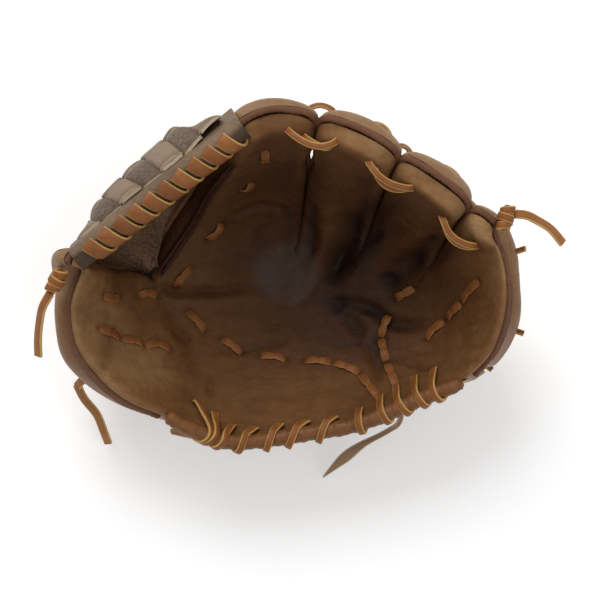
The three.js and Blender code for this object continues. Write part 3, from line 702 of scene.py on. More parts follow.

# ---- Relief of the palm-side leather ----
# Each crease: its places on the surface, its depth and half width in millimetres, how much painted shade
# darkens it.
CREASES = [
    ([(-0.09, 0.487), (0.21, 0.463), (0.46, 0.482), (0.65, 0.505), (0.86, 0.540)], 2.2, 3.0, 0.22),
    ([(2.20, 0.512), (2.56, 0.500), (2.98, 0.463), (3.20, 0.422), (3.78, 0.425)], 2.6, 3.6, 0.26),
    ([(0.38, 0.315), (0.78, 0.338), (1.56, 0.390)], 1.1, 3.0, 0.10),
    ([(-0.07, 0.372), (0.05, 0.352), (0.15, 0.340)], 1.5, 3.0, 0.16),
    ([(0.19, 0.255), (0.10, 0.210), (0.04, 0.170)], 1.0, 2.4, 0.12),
    ([(2.19, 0.823), (2.19, 0.685), (2.20, 0.580)], 2.0, 7.0, 0.16),
    ([(1.56, 0.800), (1.66, 0.720), (1.80, 0.640)], 2.2, 5.0, 0.22),
    ([(2.52, 0.860), (2.46, 0.780), (2.34, 0.700), (2.22, 0.62), (2.15, 0.56)], 4.2, 6.5, 0.34),
    ([(3.50, 0.860), (3.42, 0.780), (3.28, 0.700), (3.12, 0.62), (2.95, 0.54)], 4.6, 6.5, 0.36),
    ([(2.93, 0.825), (2.74, 0.760), (2.53, 0.705)], 1.6, 3.6, 0.18),
    ([(3.28, 0.285), (3.66, 0.228), (3.95, 0.168)], 1.2, 2.6, 0.12),
    ([(0.01, 0.468), (0.03, 0.333), (0.03, 0.217)], 0.9, 4.5, 0.06),
    ([(0.94, 0.708), (0.89, 0.638)], 1.2, 3.0, 0.14),
    ([(0.50, 0.733), (0.90, 0.768), (1.30, 0.755)], 1.3, 3.4, 0.14),
    ([(3.05, 0.41), (3.08, 0.33), (3.12, 0.24), (3.18, 0.15)], 1.8, 4.0, 0.20),
    ([(2.3, 0.50), (2.6, 0.44), (2.9, 0.34), (3.05, 0.24)], 1.4, 4.0, 0.16),
]
CREASE_STRENGTH = 1.4
CREASE_DARKNESS = 0.72
# Thongs sewn through the palm: the (u, s) of the hole each comes out of, then of the one it goes into.
STITCHES = {
    "thumb_edge": [(-0.90, 0.758, -0.62, 0.650), (-0.36, 0.508, -0.05, 0.453)],
    "thumb_run": [(-1.40, 0.603, -1.09, 0.510), (-1.07, 0.500, -0.81, 0.410), (-0.81, 0.405, -0.31, 0.333)],
    "crotch": [(0.21, 0.480, 0.30, 0.555), (0.34, 0.647, 0.43, 0.700)],
    "palm_run": [(0.24, 0.415, 0.36, 0.370), (0.51, 0.355, 0.71, 0.323), (0.96, 0.320, 1.49, 0.312),
                 (1.93, 0.310, 2.39, 0.288), (2.41, 0.288, 2.85, 0.225), (2.86, 0.220, 3.21, 0.083)],
    "second_run": [(3.16, 0.448, 3.10, 0.370), (3.11, 0.360, 3.23, 0.265), (3.25, 0.253, 3.44, 0.122)],
    "index_run": [(0.73, 0.945, 0.80, 0.907), (0.55, 0.810, 0.68, 0.838)],
    "pinky_run": [(4.36, 0.715, 4.16, 0.578), (4.15, 0.570, 3.99, 0.480), (3.95, 0.465, 3.74, 0.365),
                  (3.20, 0.520, 3.41, 0.585)],
}
HEEL_HOLES = [(-0.51, 0.140), (-0.09, 0.098), (0.28, 0.045), (0.83, 0.030), (1.44, 0.034),
              (2.02, 0.030), (2.55, 0.030), (2.95, 0.043), (3.24, 0.080), (3.45, 0.105), (3.70, 0.138),
              (4.00, 0.163)]


def crease_lines():
    for places, depth, half_width, darkness in CREASES:
        places = np.array([(u, s, 0) for u, s in places])
        line = along(places, np.linspace(0, 1, 14 * len(places)))
        point, _ = palm_at(line[:, 0], line[:, 1])
        yield point, depth, half_width, darkness


CREASE_LINES = list(crease_lines())
HOLES = np.vstack([palm_at([h[0] for h in HEEL_HOLES], [h[1] for h in HEEL_HOLES])[0]]
                  + [palm_at([p[0], p[2]], [p[1], p[3]])[0] for run in STITCHES.values() for p in run])


def relief(base):
    """For points on the palm face: how far the leather is raised, and how much painted shade it takes in the
    creases, the wrinkles and round the lace holes.
    """
    raised = np.zeros(len(base))
    painted_shade = np.zeros(len(base))
    for line, depth, half_width, darkness in CREASE_LINES:
        gap = np.linalg.norm(base[:, None] - line[None], axis=-1)
        nearest = gap.argmin(1)
        distance = gap[np.arange(len(base)), nearest]
        t = nearest / (len(line) - 1)
        fade = np.clip(np.sin(np.pi * t) * 2.2, 0, 1)
        wobble = 1 + 0.25 * np.sin(17 * t + 5 * depth)
        groove = np.exp(-((distance / half_width) ** 2))
        lip = np.exp(-(((distance - 1.9 * half_width) / (0.8 * half_width)) ** 2))
        raised += CREASE_STRENGTH * depth * fade * wobble * (0.28 * lip - groove)
        # Painted shade in the crease's groove.
        painted_shade += CREASE_DARKNESS * darkness * fade * np.exp(-((distance / (0.8 * half_width)) ** 2))
    near_hole = np.min(np.linalg.norm(base[:, None] - HOLES[None], axis=-1), axis=1)
    raised -= 0.9 * np.exp(-((near_hole / 2.6) ** 2))
    # Painted shade in the dimple round each lace hole.
    painted_shade += 0.30 * np.exp(-((near_hole / 2.2) ** 2))
    for i, p in enumerate(base):
        broad = noise.noise(Vector(p * 0.030))
        fine = noise.noise(Vector(p * 0.110) + Vector((7, 3, 1)))
        wrinkle = noise.noise(Vector((p[0] * 0.05, p[1] * 0.22, p[2] * 0.05)))
        raised[i] += 1.1 * broad + 0.35 * fine - 0.5 * max(0.0, wrinkle - 0.15)
        # Painted shade in the wrinkle grooves.
        painted_shade[i] += 0.10 * max(0.0, wrinkle)
    return raised, painted_shade


def palm_tone(point, big_u, s, drop):
    """0 is the darkest pocket, oiled and with painted shade, 1 a worn fingertip with painted light."""
    tone = np.full(len(point), 0.64)
    # Darker in the pocket: partly the oiled leather, partly painted shade in the hollow.
    pocket = np.exp(-(((point[:, 0] - 26) / 66) ** 2 + ((point[:, 1] - 12) / 44) ** 2))
    tone -= 0.38 * pocket
    tone -= 0.10 * np.exp(-(((point[:, 0] - 42) / 26) ** 2 + ((point[:, 1] + 22) / 16) ** 2))
    # Painted shade on the index and middle fingers' faces, where they curl over the pocket.
    tone -= 0.19 * smooth(0.45, 0.75, s) * smooth(0, 0.5, big_u) * (1 - smooth(1.3, 2.0, big_u))
    tone += 0.27 * (1 - smooth(-1.1, 0.0, big_u)) * smooth(0.1, 0.35, s)
    tone -= 0.08 * np.exp(-(((point[:, 0] - 5) / 40) ** 2 + ((point[:, 1] + 22) / 22) ** 2))
    tone += 0.16 * smooth(3.6, 4.7, big_u) + 0.06 * smooth(2.4, 3.4, big_u) * smooth(0.6, 0.8, s)
    # Painted shade: a dark line in the gap along the index finger's edge beside the web.
    web_side = smooth(0.5, 0.56, s) * (1 - smooth(0.93, 0.98, s)) * (big_u >= 0)
    tone -= 0.30 * np.exp(-((big_u / 0.13) ** 2)) * web_side
    # Painted shade in the valleys between the fingers.
    for slit, depth in ((1.5, 0.10), (2.5, 0.26), (3.5, 0.26)):
        valley = np.exp(-(((big_u - slit) / 0.26) ** 2)) * smooth(0.56, 0.72, s) * (1 - smooth(0.90, 0.99, s))
        tone -= depth * valley
    # Lighter round the corners and most at the tips: partly wear, partly painted light where these walls face
    # the lamp.
    tip_wear_and_light = smooth(0.80, 0.96, s) * (0.5 + 0.5 * smooth(1.4, 1.7, big_u))
    tone += smooth(0.02, 0.30, drop) * (0.10 + 0.26 * tip_wear_and_light)
    return tone


# ---- Palm-side leather: one hide from the thumb to the little finger ----
def spread_across(count):
    return np.sin(np.pi / 2 * np.linspace(-1, 1, count))


def finger_rows(name, start, shaft, cap):
    cap_from = float(digit_state(name, 0.0, 0.5)["cap_from"])
    fold = np.sin(np.pi / 2 * np.linspace(0, 1, cap))
    return np.concatenate([np.linspace(start, cap_from, shaft)[1:], mix(cap_from, 1, fold)[1:]])


TO_CROTCH = np.linspace(HEEL_EDGE, CROTCH, 64)
TO_SPLIT = np.concatenate([TO_CROTCH, np.linspace(CROTCH, SPLIT, 16)[1:]])
COLUMNS = {"thumb": 44, "index": 44, "middle": 34, "ring": 34, "pinky": 44}


def hide_layout(names):
    """Where the points of a hide that parts into digits lie, and which are shared between them."""
    parts = []
    total = 0
    previous = None
    for name in names:
        shared_rows = 0
        rows = np.concatenate([TO_SPLIT, finger_rows(name, SPLIT, 44, 18)])
        if name == "thumb":
            rows = np.concatenate([TO_CROTCH, finger_rows(name, CROTCH, 56, 18)])
        across = spread_across(COLUMNS[name])
        number = np.full((len(across), len(rows)), -1)
        if previous is not None:
            shared_rows = len(TO_CROTCH) if name == "index" else len(TO_SPLIT)
            number[0, :shared_rows] = previous["number"][-1, :shared_rows]
        new = number < 0
        number[new] = total + np.arange(new.sum())
        total += int(new.sum())
        previous = dict(name=name, across=across, rows=rows, number=number)
        parts.append(previous)
    return parts, total


def front_hide(names):
    parts, total = hide_layout(names)
    points = np.zeros((total, 3))
    hits = np.zeros(total)
    fields = {key: np.zeros(total) for key in ("u", "s", "drop", "free")}
    faces = []
    for part in parts:
        a, s = np.meshgrid(part["across"], part["rows"], indexing="ij")
        state = digit_state(part["name"], a, s)
        span = DIGITS[part["name"]]["span"]
        big_u = mix(span[0], span[1], (a + 1) / 2) - (2 if part["name"] == "thumb" else 0)
        number = part["number"].reshape(-1)
        np.add.at(points, number, front_point(part["name"], a, s).reshape(-1, 3))
        np.add.at(hits, number, 1)
        edge = np.maximum(np.abs(a) ** 6 * state["opened"], smooth(0.985, 1, s))
        for key, value in (("u", big_u), ("s", s), ("drop", front_drop(part["name"], a, s)), ("free", edge)):
            np.add.at(fields[key], number, value.reshape(-1))
        cells = part["number"]
        quads = np.stack([cells[:-1, :-1], cells[1:, :-1], cells[1:, 1:], cells[:-1, 1:]], -1)
        faces += quads.reshape(-1, 4).tolist()
    points /= hits[:, None]
    for key in fields:
        fields[key] /= hits
    return points, faces, fields


base, hide_faces, hide_fields = front_hide(["thumb", *FINGERS])
normals = point_normals(base, hide_faces)
raised, painted_shade = relief(base)
calm = (1 - hide_fields["free"]) * smooth(0.0, 0.06, hide_fields["s"])
surface = base + normals * (raised * calm)[:, None]
tone = palm_tone(base, hide_fields["u"], hide_fields["s"], hide_fields["drop"])
# The creases' painted shade, weaker round the front corners.
tone -= painted_shade * (1 - 0.5 * hide_fields["drop"])
hide = Piece().thick(surface, hide_faces, LEATHER * 0.9, tone, normals=point_normals(surface, hide_faces))
# A worn grey oval where a stamp has rubbed away.
worn = ((hide_fields["u"] - 1.42) / 0.56) ** 2 + ((hide_fields["s"] - 0.58) / 0.085) ** 2
burnish = np.tile(1 - smooth(0.75, 1.15, worn), 2)
hide = hide.build("palm_hide", [palm_leather], {"burnish": burnish})
finish_piece(hide, ["palm_leather", "thumb_leather"], "fold")

# ---- Felt and lining under the palm ----
FELT_TOP = LEATHER + LAYER_GAP
LINING_TOP = FELT_TOP + FELT + LAYER_GAP


def add_layer(piece_name, node, digit, columns, rows, top, thickness, material, body="palm"):
    a, s = np.meshgrid(columns, rows, indexing="ij")
    outer = front_point(digit, a, s, top)
    flat = front_point(digit, a, s, 0.0).reshape(-1, 3)
    raised_here, _ = relief(flat)
    _, _, _, out, _ = frame_at(DIGITS[digit]["side"], sum(DIGITS[digit]["span"]) / 2, s)
    outer = outer.reshape(-1, 3) + out.reshape(-1, 3) * np.minimum(raised_here, 0)[:, None]
    faces = grid_faces(len(columns), len(rows))
    obj = Piece().thick(outer, faces, thickness).build(piece_name, [material])
    finish_piece(obj, [node], body)


inner_columns = np.linspace(-0.94, 0.72, 40)
inner_rows = np.linspace(0.2, 0.52, 24)
add_layer("palm_pad", "palm_felt", "hand", inner_columns, inner_rows, FELT_TOP, FELT, felt)
add_layer("palm_liner", "palm_lining", "hand", inner_columns, inner_rows, LINING_TOP, LINING, lining_leather)
add_layer("thumb_pad", "thumb_felt", "thumb", np.linspace(-0.66, 0.9, 20), np.linspace(0.22, 0.46, 14),
          FELT_TOP, FELT, felt, "thumb_side")


# ---- Backs ----
def add_back(piece_name, node, digit, columns, rows, body="palm", thickness=LEATHER,
             material=back_leather, inset=0.0, lumps=0.5):
    a, s = np.meshgrid(columns, rows, indexing="ij")
    outer = back_point(digit, a, s, inset).reshape(-1, 3)
    faces = [face[::-1] for face in grid_faces(len(columns), len(rows))]
    normals = point_normals(outer, faces)
    state = digit_state(digit, a, s)
    edge = np.maximum(np.abs(a) ** 8 * state["opened"], smooth(0.97, 1, s)).reshape(-1)
    push = np.array([noise.noise(Vector(p * 0.06)) + 0.4 * noise.noise(Vector(p * 0.2)) for p in outer])
    lowest = outer[:, 2] < 1.0
    outer = outer + normals * (push * lumps * (1 - edge) * ~lowest)[:, None]
    # Lighter towards the tips: painted light where the backs' ends face the lamp.
    tone = 0.6 + 0.14 * smooth(0.8, 1.0, s).reshape(-1) - 0.10 * np.clip(push, -1, 1)
    obj = Piece().thick(outer, faces, thickness, tone, rim=1).build(piece_name, [material, raw_edge])
    finish_piece(obj, [node], body)


back_columns = np.concatenate([np.linspace(-1, 0.6, 40), np.linspace(0.6, 1, 26)[1:]])
add_back("back_of_hand", "hand_back", "hand", back_columns, np.linspace(0.2, KNUCKLE + 0.004, 25))
add_back("wrist_band", "wrist_strap", "hand", back_columns, np.linspace(0.02, 0.1, 10))
add_back("wrist_fleece", "strap_fleece", "hand", back_columns[3:-8], np.linspace(0.03, 0.09, 10),
         thickness=4.0, material=fleece, inset=LEATHER + 0.3, lumps=0.6)
for name in FINGERS:
    rows = np.concatenate([np.linspace(KNUCKLE, SPLIT, 12), finger_rows(name, SPLIT, 26, 14)])
    add_back(f"{name}_stall_back", f"{name}_back", name, spread_across(40), rows)
thumb_rows = np.concatenate([np.linspace(0.03, CROTCH, 36), finger_rows("thumb", CROTCH, 26, 14)])
add_back("thumb_stall_back", "thumb_back", "thumb", spread_across(44), thumb_rows, "thumb_side")

# ---- Welting in the seams, with its thread ----
WELT_RADIUS = 2.0
SLIT_TOP = SPLIT + 0.12
# How far down each finger's left and right side its welting shows.
WELT_RANGES = {"index": (CROTCH + 0.13, SLIT_TOP), "middle": (SLIT_TOP, SLIT_TOP),
               "ring": (SLIT_TOP, SLIT_TOP), "pinky": (SLIT_TOP, 0.07), "thumb": (0.08, CROTCH + 0.12)}


def welt_line(name):
    digit = DIGITS[name]
    cap_from = float(digit_state(name, 0.0, 0.5)["cap_from"])
    left_from, right_from = WELT_RANGES[name]

    def side(a, start, free):
        sunk = -1.6 if free == SPLIT else 1.2
        round_tip = mix(cap_from, 1, np.array([0.35, 0.6, 0.8, 0.93]))
        s = np.concatenate([np.linspace(start, cap_from, 16), round_tip])
        proud = mix(sunk, 0.6, smooth(cap_from, 1, s))
        return seam_point(name, np.full(len(s), float(a)), s, proud)

    tip = seam_point(name, np.array([-0.6, -0.2, 0.2, 0.6]), np.ones(4), np.full(4, 0.6))
    right = side(1, right_from, digit["free"][1])
    return spline(np.vstack([side(-1, left_from, digit["free"][0]), tip, right[::-1]]), 220)


def welt_outward(name, line):
    """Away from the digit's middle line, for each point of its welting."""
    digit = DIGITS[name]
    s = np.linspace(0.1, 0.97, 60)
    spine, _, _, _, _ = frame_at(digit["side"], sum(digit["span"]) / 2, s)
    gap = np.linalg.norm(line[:, None] - spine[None], axis=-1)
    return unit(line - spine[gap.argmin(1)])


STITCH_PITCH = 2.6
for name in [*FINGERS, "thumb"]:
    line = welt_line(name)
    outward = welt_outward(name, line)
    tangent = unit(np.gradient(line, axis=0))
    toward_back = unit(np.cross(outward, tangent))
    toward_back *= np.where(toward_back @ np.array([0, 0.6, -1.0]) > 0, 1.0, -1.0)[:, None]
    count = np.arange(len(line))
    wave = 1 + 0.06 * np.sin(count * 1.9) + 0.05 * np.sin(count * 0.7)
    piece = Piece().tube(line - toward_back + outward * 0.4, WELT_RADIUS * wave, 10, tone=0.72)
    piece.tube(line + toward_back * 2.1, 1.6 * wave[::-1], 10, tone=0.62)
    gone = np.concatenate([[0], np.cumsum(np.linalg.norm(np.diff(line, axis=0), axis=1))])
    groove = line + toward_back * 0.8 + outward * 1.55
    for start in np.arange(2.0, gone[-1] - 3.0, STITCH_PITCH):
        ends = np.array([start, start + 0.9, start + 1.8])
        places = np.stack([np.interp(ends, gone, groove[:, k]) for k in range(3)], -1)
        piece.tube(places, 0.42, 5, finish=1)
    obj = piece.build(f"{name}_welt", [welt_leather, thread])
    finish_piece(obj, [f"{name}_welting"], "thumb_side" if name == "thumb" else "palm")

# A rolled edge of two dark ridges beside the web, on the index finger's palm side.
INDEX_EDGE = [(0.04, 0.515), (0.08, 0.574), (0.09, 0.626), (0.085, 0.68), (0.050, 0.746), (0.012, 0.818),
              (0.004, 0.884), (0.004, 0.930)]
route = along(np.array([(u, s, 0) for u, s in INDEX_EDGE]), np.linspace(0, 1, 90))
edge_point, edge_out = palm_at(route[:, 0], route[:, 1])
edge_side = unit(np.cross(edge_out, np.gradient(edge_point, axis=0)))
ripple = 1 + 0.08 * np.sin(np.arange(90) * 0.9)
thin_ends = np.clip(np.sin(np.pi * np.linspace(0.04, 0.96, 90)) * 2.5, 0.3, 1)
piece = Piece()
for shift, radius in ((-1.3, 1.6), (1.5, 1.4)):
    piece.tube(edge_point + edge_side * shift + edge_out * 0.9, radius * ripple * thin_ends, 8, tone=0.14)
obj = piece.build("index_edge_ridge", [welt_leather])
finish_piece(obj)

# ---- Heel roll and the thong that wraps it ----
def roll_middle(big_u):
    """The heel roll's middle line, with the forward and outward directions there."""
    big_u = np.asarray(big_u, float)
    on_thumb = (big_u < 0)[:, None]
    zero = np.zeros_like(big_u)
    pt, _, ft, ot, _ = frame_at("thumb", np.clip(big_u + 2, 0, 2), zero)
    pf, _, ff, of, _ = frame_at("finger", np.clip(big_u, 0, 5), zero)
    forward = unit(np.where(on_thumb, ft, ff))
    out = np.where(on_thumb, ot, of)
    return np.where(on_thumb, pt, pf) - 3.0 * forward - 1.0 * out, forward, out


BINDING_RADIUS = 4.2
# Its end at the thumb runs on up the thumb's edge as a flap.
flap_end = np.array([(-77, -76.5, 84.5), (-74.5, -78, 83.5), (-71.5, -80, 82)], float)
binding_line = spline(np.vstack([flap_end, roll_middle(np.linspace(-1.6, 4.85, 150)[10::6])[0]]), 170)
place = np.linspace(-2.2, 4.85, 170)
folds = 1 + 0.05 * np.sin(place * 14) + 0.04 * np.sin(place * 31 + 1)
thinner = 1.12 - 0.12 * (1 - smooth(-2.1, -1.3, place)) - 0.12 * smooth(3.8, 4.85, place)
obj = Piece().tube(binding_line, BINDING_RADIUS * folds * thinner, 16, tone=0.42)
obj = obj.build("heel_roll", [binding_leather])
finish_piece(obj, ["heel_binding_palm", "heel_binding_thumb"], "fold")

HEEL_THONG = 4.3
# How far along the heel a turn leans, for holes at these places.
HEEL_LEANS = [(-0.51, -0.09, 0.28, 0.83, 1.44, 2.02, 2.55, 2.95, 3.45, 4.0),
              (-0.7, -0.95, -0.85, -0.6, -0.35, -0.4, -0.3, 0.05, 0.2, 0.24)]


def heel_wrap(piece, hole, lean):
    """One slanting turn: up through its hole in the palm, over the roll and under it."""
    u, s = hole
    top, out = palm_at([u], [s])
    r = BINDING_RADIUS * 1.1 + 1.3
    centre, forward, rim_out = roll_middle(u + lean * np.array([0.5, 0.75, 0.95, 1.1, 1.2, 1.25]))
    ahead = np.array([1.0, -0.72 * r, -r, -0.72 * r, 0.4 * r, 2.0 * r])[:, None]
    above = np.array([1.0, 0.7, 0.0, -0.7, -1.0, -2.0])[:, None] * r
    turn = centre + ahead * forward + above * rim_out
    halfway = mix(top, turn[:1], 0.5) + 1.2 * out
    line = spline(np.vstack([top - 2.5 * out, top + 1.4 * out, halfway, turn]), 46)
    normal = unit(line - centre[1])
    t = np.linspace(0, 1, len(line))[:, None]
    normal = unit(mix(np.broadcast_to(out, line.shape), normal, smooth(0.12, 0.4, t)))
    piece.ribbon(line, normal, HEEL_THONG, 1.9, tone=0.5)


piece = Piece()
for hole in HEEL_HOLES:
    heel_wrap(piece, hole, float(np.interp(hole[0], *HEEL_LEANS)))
obj = piece.build("heel_thong", [stitch_lace, lace_edge])
finish_piece(obj, ["heel_lace_palm", "heel_lace_thumb"], "fold")

# ---- Thongs sewn through the palm ----
STITCH_WIDTH = 4.8
for run, stitches in STITCHES.items():
    piece = Piece()
    for u0, s0, u1, s1 in stitches:
        t = np.linspace(0, 1, 22)
        point, out = palm_at(mix(u0, u1, t), mix(s0, s1, t))
        lift, _ = relief(point)
        height = np.maximum(lift, -1.0) + 3.6 * np.clip(np.sin(np.pi * t), 0, 1) ** 0.35 - 2.0
        # The index finger's thongs are darker: painted shade, as on that finger's face.
        dark = 0.36 if run == "index_run" else 0.5
        width = STITCH_WIDTH * (1 - 0.25 * np.cos(2 * np.pi * t) ** 8)
        piece.ribbon(point + out * height[:, None], out, width, 1.6, tone=dark)
    obj = piece.build(f"{run}_thongs", [stitch_lace, stitch_edge])
    finish_piece(obj, [], "fold")

# ---- Web: pebbled panel inside, woven strips outside ----
WEB_PANEL = 2.4
a, b = np.meshgrid(np.linspace(0.035, 0.965, 60), np.linspace(0.03, 0.97, 60), indexing="ij")
panel = web_point(a, b, 0.0).reshape(-1, 3)
push = np.array([noise.noise(Vector(p * 0.045)) for p in panel])
panel_faces = grid_faces(60, 60)
panel_normals = point_normals(panel, panel_faces)
panel = panel + panel_normals * (1.2 * push * np.sin(np.pi * a).reshape(-1))[:, None]
toward_eye = np.sign(np.sum(panel_normals * (panel - web_point(a, b, 5.0).reshape(-1, 3)), 1).mean())
# Painted shade along the sides, where the panel meets the thumb and the index finger.
beside = np.exp(-(((1 - a) / 0.10) ** 2)) + 0.6 * np.exp(-((a / 0.08) ** 2))
panel_tone = 0.5 - 0.2 * push - 0.45 * beside.reshape(-1)
obj = Piece().thick(panel, panel_faces, toward_eye * WEB_PANEL, panel_tone, rim=0)
obj = obj.build("web_inner_panel", [web_leather])
finish_piece(obj, ["web_panel"], "web")

WEAVE_BASE = 4.6
WEAVE_LIFT = 2.0
STRIP_THICK = 1.9
SHOULDER = 7.0        # how much further the weave stands out beside the index finger, at the top
WARPS = 7
WEFTS = 6
# Where the weave starts and how far it goes: across the web for the warps, up it for the wefts.
WEAVE_SPAN = {True: (0.04, 0.92), False: (0.05, 0.91)}


def strip(piece, row, count_across, crossed, warp, finish):
    """One woven strip: warp strips run up the web, weft strips across it."""
    start, whole = WEAVE_SPAN[warp]
    cross_start, cross_whole = WEAVE_SPAN[not warp]
    pitch = whole / count_across
    fixed = start + (row + 0.5) * pitch
    half = pitch / 2 * 0.92
    t = np.linspace(cross_start - 0.01, cross_start + cross_whole + 0.01, 90)
    across = np.linspace(-1, 1, 9)
    grid_across, grid_t = np.meshgrid(across, t, indexing="ij")
    met = (grid_t - cross_start) / (cross_whole / crossed) - 0.5
    wave = np.cos(np.pi * (met + row + (0 if warp else 1)))
    a, b = (fixed + half * grid_across, grid_t) if warp else (grid_t, fixed + half * grid_across)
    lift = WEAVE_BASE + WEAVE_LIFT * np.sign(wave) * np.abs(wave) ** 0.6 - 0.35 * grid_across**4
    lift = WEAVE_BASE + (lift - WEAVE_BASE) * mix(0.5, 1, smooth(0.0, 0.3, b))
    lift = lift + SHOULDER * smooth(0.62, 0.95, a) * smooth(0.35, 0.9, b)
    top = web_point(a, b, lift + STRIP_THICK / 2).reshape(-1, 3)
    bottom = web_point(a, b, lift - STRIP_THICK / 2).reshape(-1, 3)
    # Painted shade where a strip dips under its neighbours and along its edges.
    dip = smooth(0.0, -0.8, wave).reshape(-1) + 0.6 * np.abs(grid_across).reshape(-1) ** 6
    tone = 0.56 + 0.12 * np.sin(5 * row + 1) - 0.42 * np.tile(dip, 2)
    piece.slab(top, bottom, grid_faces(len(across), len(t)), tone, finish, 2)


piece = Piece()
for k in range(WARPS):
    strip(piece, k, WARPS, WEFTS, True, k % 2)
for k in range(WEFTS):
    strip(piece, k, WEFTS, WARPS, False, (k + 1) % 2)
obj = piece.build("web_basket_weave", [weave_leather, weave_pebbled, raw_edge])
finish_piece(obj, ["web_weave"], "web")


# ---- Rolled top edge of the web ----
def roll_frame(t):
    """Along the top of the web: point, direction, up, and away from the pocket."""
    t = np.asarray(t, float)
    step = 0.01
    point = web_point(t, 1.0, 2.0 + mix(*ROLL_OFFSET, t))
    point = point - np.array([0, 0, 1.0]) * mix(*ROLL_SINKS, t)[..., None]
    direction = unit(web_point(t + step, 1.0, 2.0) - web_point(t - step, 1.0, 2.0))
    away = web_point(t, 0.97, 12.0) - web_point(t, 0.97, 2.0)
    away = unit(away - direction * np.sum(away * direction, -1, keepdims=True))
    up = unit(np.cross(direction, away))
    up = up * np.sign(np.sum(up * np.array([0, 0, 1.0]), -1, keepdims=True))
    return point, direction, up, away


ROLL_HALF = 7.2
ROLL_OFFSET = (-4.0, 0.5)  # at the thumb and at the index
ROLL_SINKS = (1.0, 5.0)


def roll_section(t, w, swell=0.0):
    """w runs 0..1 round the folded flap: from inside the pocket, over the top, to the outside."""
    point, _, up, away = roll_frame(t)
    r = ROLL_HALF + swell
    inside, outside = 15.0, 17.0
    angle = np.pi * np.clip((w - 0.35) / 0.35, 0, 1)
    across = -np.cos(angle)[..., None] * r
    height = np.sin(angle)[..., None] * r * 0.8
    fall_in = (np.clip(0.35 - w, 0, 1) / 0.35)[..., None] * inside
    fall_out = (np.clip(w - 0.70, 0, 1) / 0.30)[..., None] * outside
    return point + away * across + up * (height - fall_in - fall_out)


ROLL_FROM, ROLL_TO = -0.06, 1.02
w, t = np.meshgrid(np.linspace(0, 1, 46), np.linspace(ROLL_FROM, ROLL_TO, 110), indexing="ij")
wavy = 0.012 * np.sin(t * 23) + 0.01 * np.sin(t * 51 + 1)
w_in = np.where(w < 0.35, 0.35 - (0.35 - w) * (0.75 + 0.3 * np.sin(np.pi * t) + 6 * wavy), w)
flap = roll_section(t, w_in).reshape(-1, 3)
flap_faces = grid_faces(46, 110)
flap_normals = point_normals(flap, flap_faces)
centre = np.repeat(roll_frame(np.linspace(ROLL_FROM, ROLL_TO, 110))[0][None], 46, 0).reshape(-1, 3)
if np.sum(flap_normals * (flap - centre), 1).mean() < 0:
    flap_faces = [face[::-1] for face in flap_faces]
# Painted shade in the wound band, which shows in the gaps between the windings.
under_windings = smooth(0.22, 0.30, w) * (1 - smooth(0.54, 0.60, w))
roll_tone = (0.42 + 0.1 * np.sin(9 * t) - 0.45 * under_windings).reshape(-1)
obj = Piece().thick(flap, flap_faces, 2.2, roll_tone, rim=1)
obj = obj.build("web_rolled_edge", [roll_leather, raw_edge])
finish_piece(obj, ["web_roll"], "web")

WINDINGS = 10
WINDING_WIDTH = 8.3
WINDING_LEAN = 0.040
w, reach = np.linspace(0.27, 0.60, 40), np.linspace(-1, 1, 40)
ends = np.clip(np.abs(reach) - 0.82, 0, 1)[:, None] / 0.18
twist = 0.05 * np.sin(np.pi * np.linspace(0, 1, 40))[:, None]
piece = Piece()
for k in range(WINDINGS):
    t = mix(0.075, 0.925, k / (WINDINGS - 1)) - WINDING_LEAN * reach
    point, direction, up, _ = roll_frame(t)
    path = mix(roll_section(t, w, 1.3), point - up * 2, 0.4 * ends**2)
    normal = unit(path - point + up) - direction * twist
    piece.ribbon(path + up * 0.8 * twist, normal, WINDING_WIDTH, 1.7, tone=0.5 + 0.12 * np.sin(k * 2.3))
finish_lace(piece, "web_edge_windings", ["web_roll_lace"], "web")


# ---- Laces that tie neighbouring fingertips ----
def tie(piece, start, end, facing, bow, width=3.8, thick=1.9, tone=0.5):
    """A thong between two points, bowed at its middle, whose ends dive into the leather."""
    reach = np.linspace(0, 1, 34)[:, None]
    facing = unit(np.asarray(facing, float))
    dive = np.clip(1 - 8 * np.minimum(reach, 1 - reach), 0, 1) ** 2
    path = mix(np.asarray(start, float), np.asarray(end, float), reach)
    path = path + np.asarray(bow, float) * 4 * reach * (1 - reach) - facing * 3.0 * dive
    piece.ribbon(path, facing, width, thick, tone=tone)


def on_front(name, a, s, lift):
    digit = DIGITS[name]
    _, _, forward, out, _ = frame_at(digit["side"], np.array(sum(digit["span"]) / 2), np.array(s))
    return front_point(name, np.array(a), np.array(s)) + unit(out + unit(forward)) * lift


def on_back(name, a, s, lift):
    digit = DIGITS[name]
    _, _, _, _, down = frame_at(digit["side"], np.array(sum(digit["span"]) / 2), np.array(s))
    return back_point(name, np.array(a), np.array(s)) + down * lift


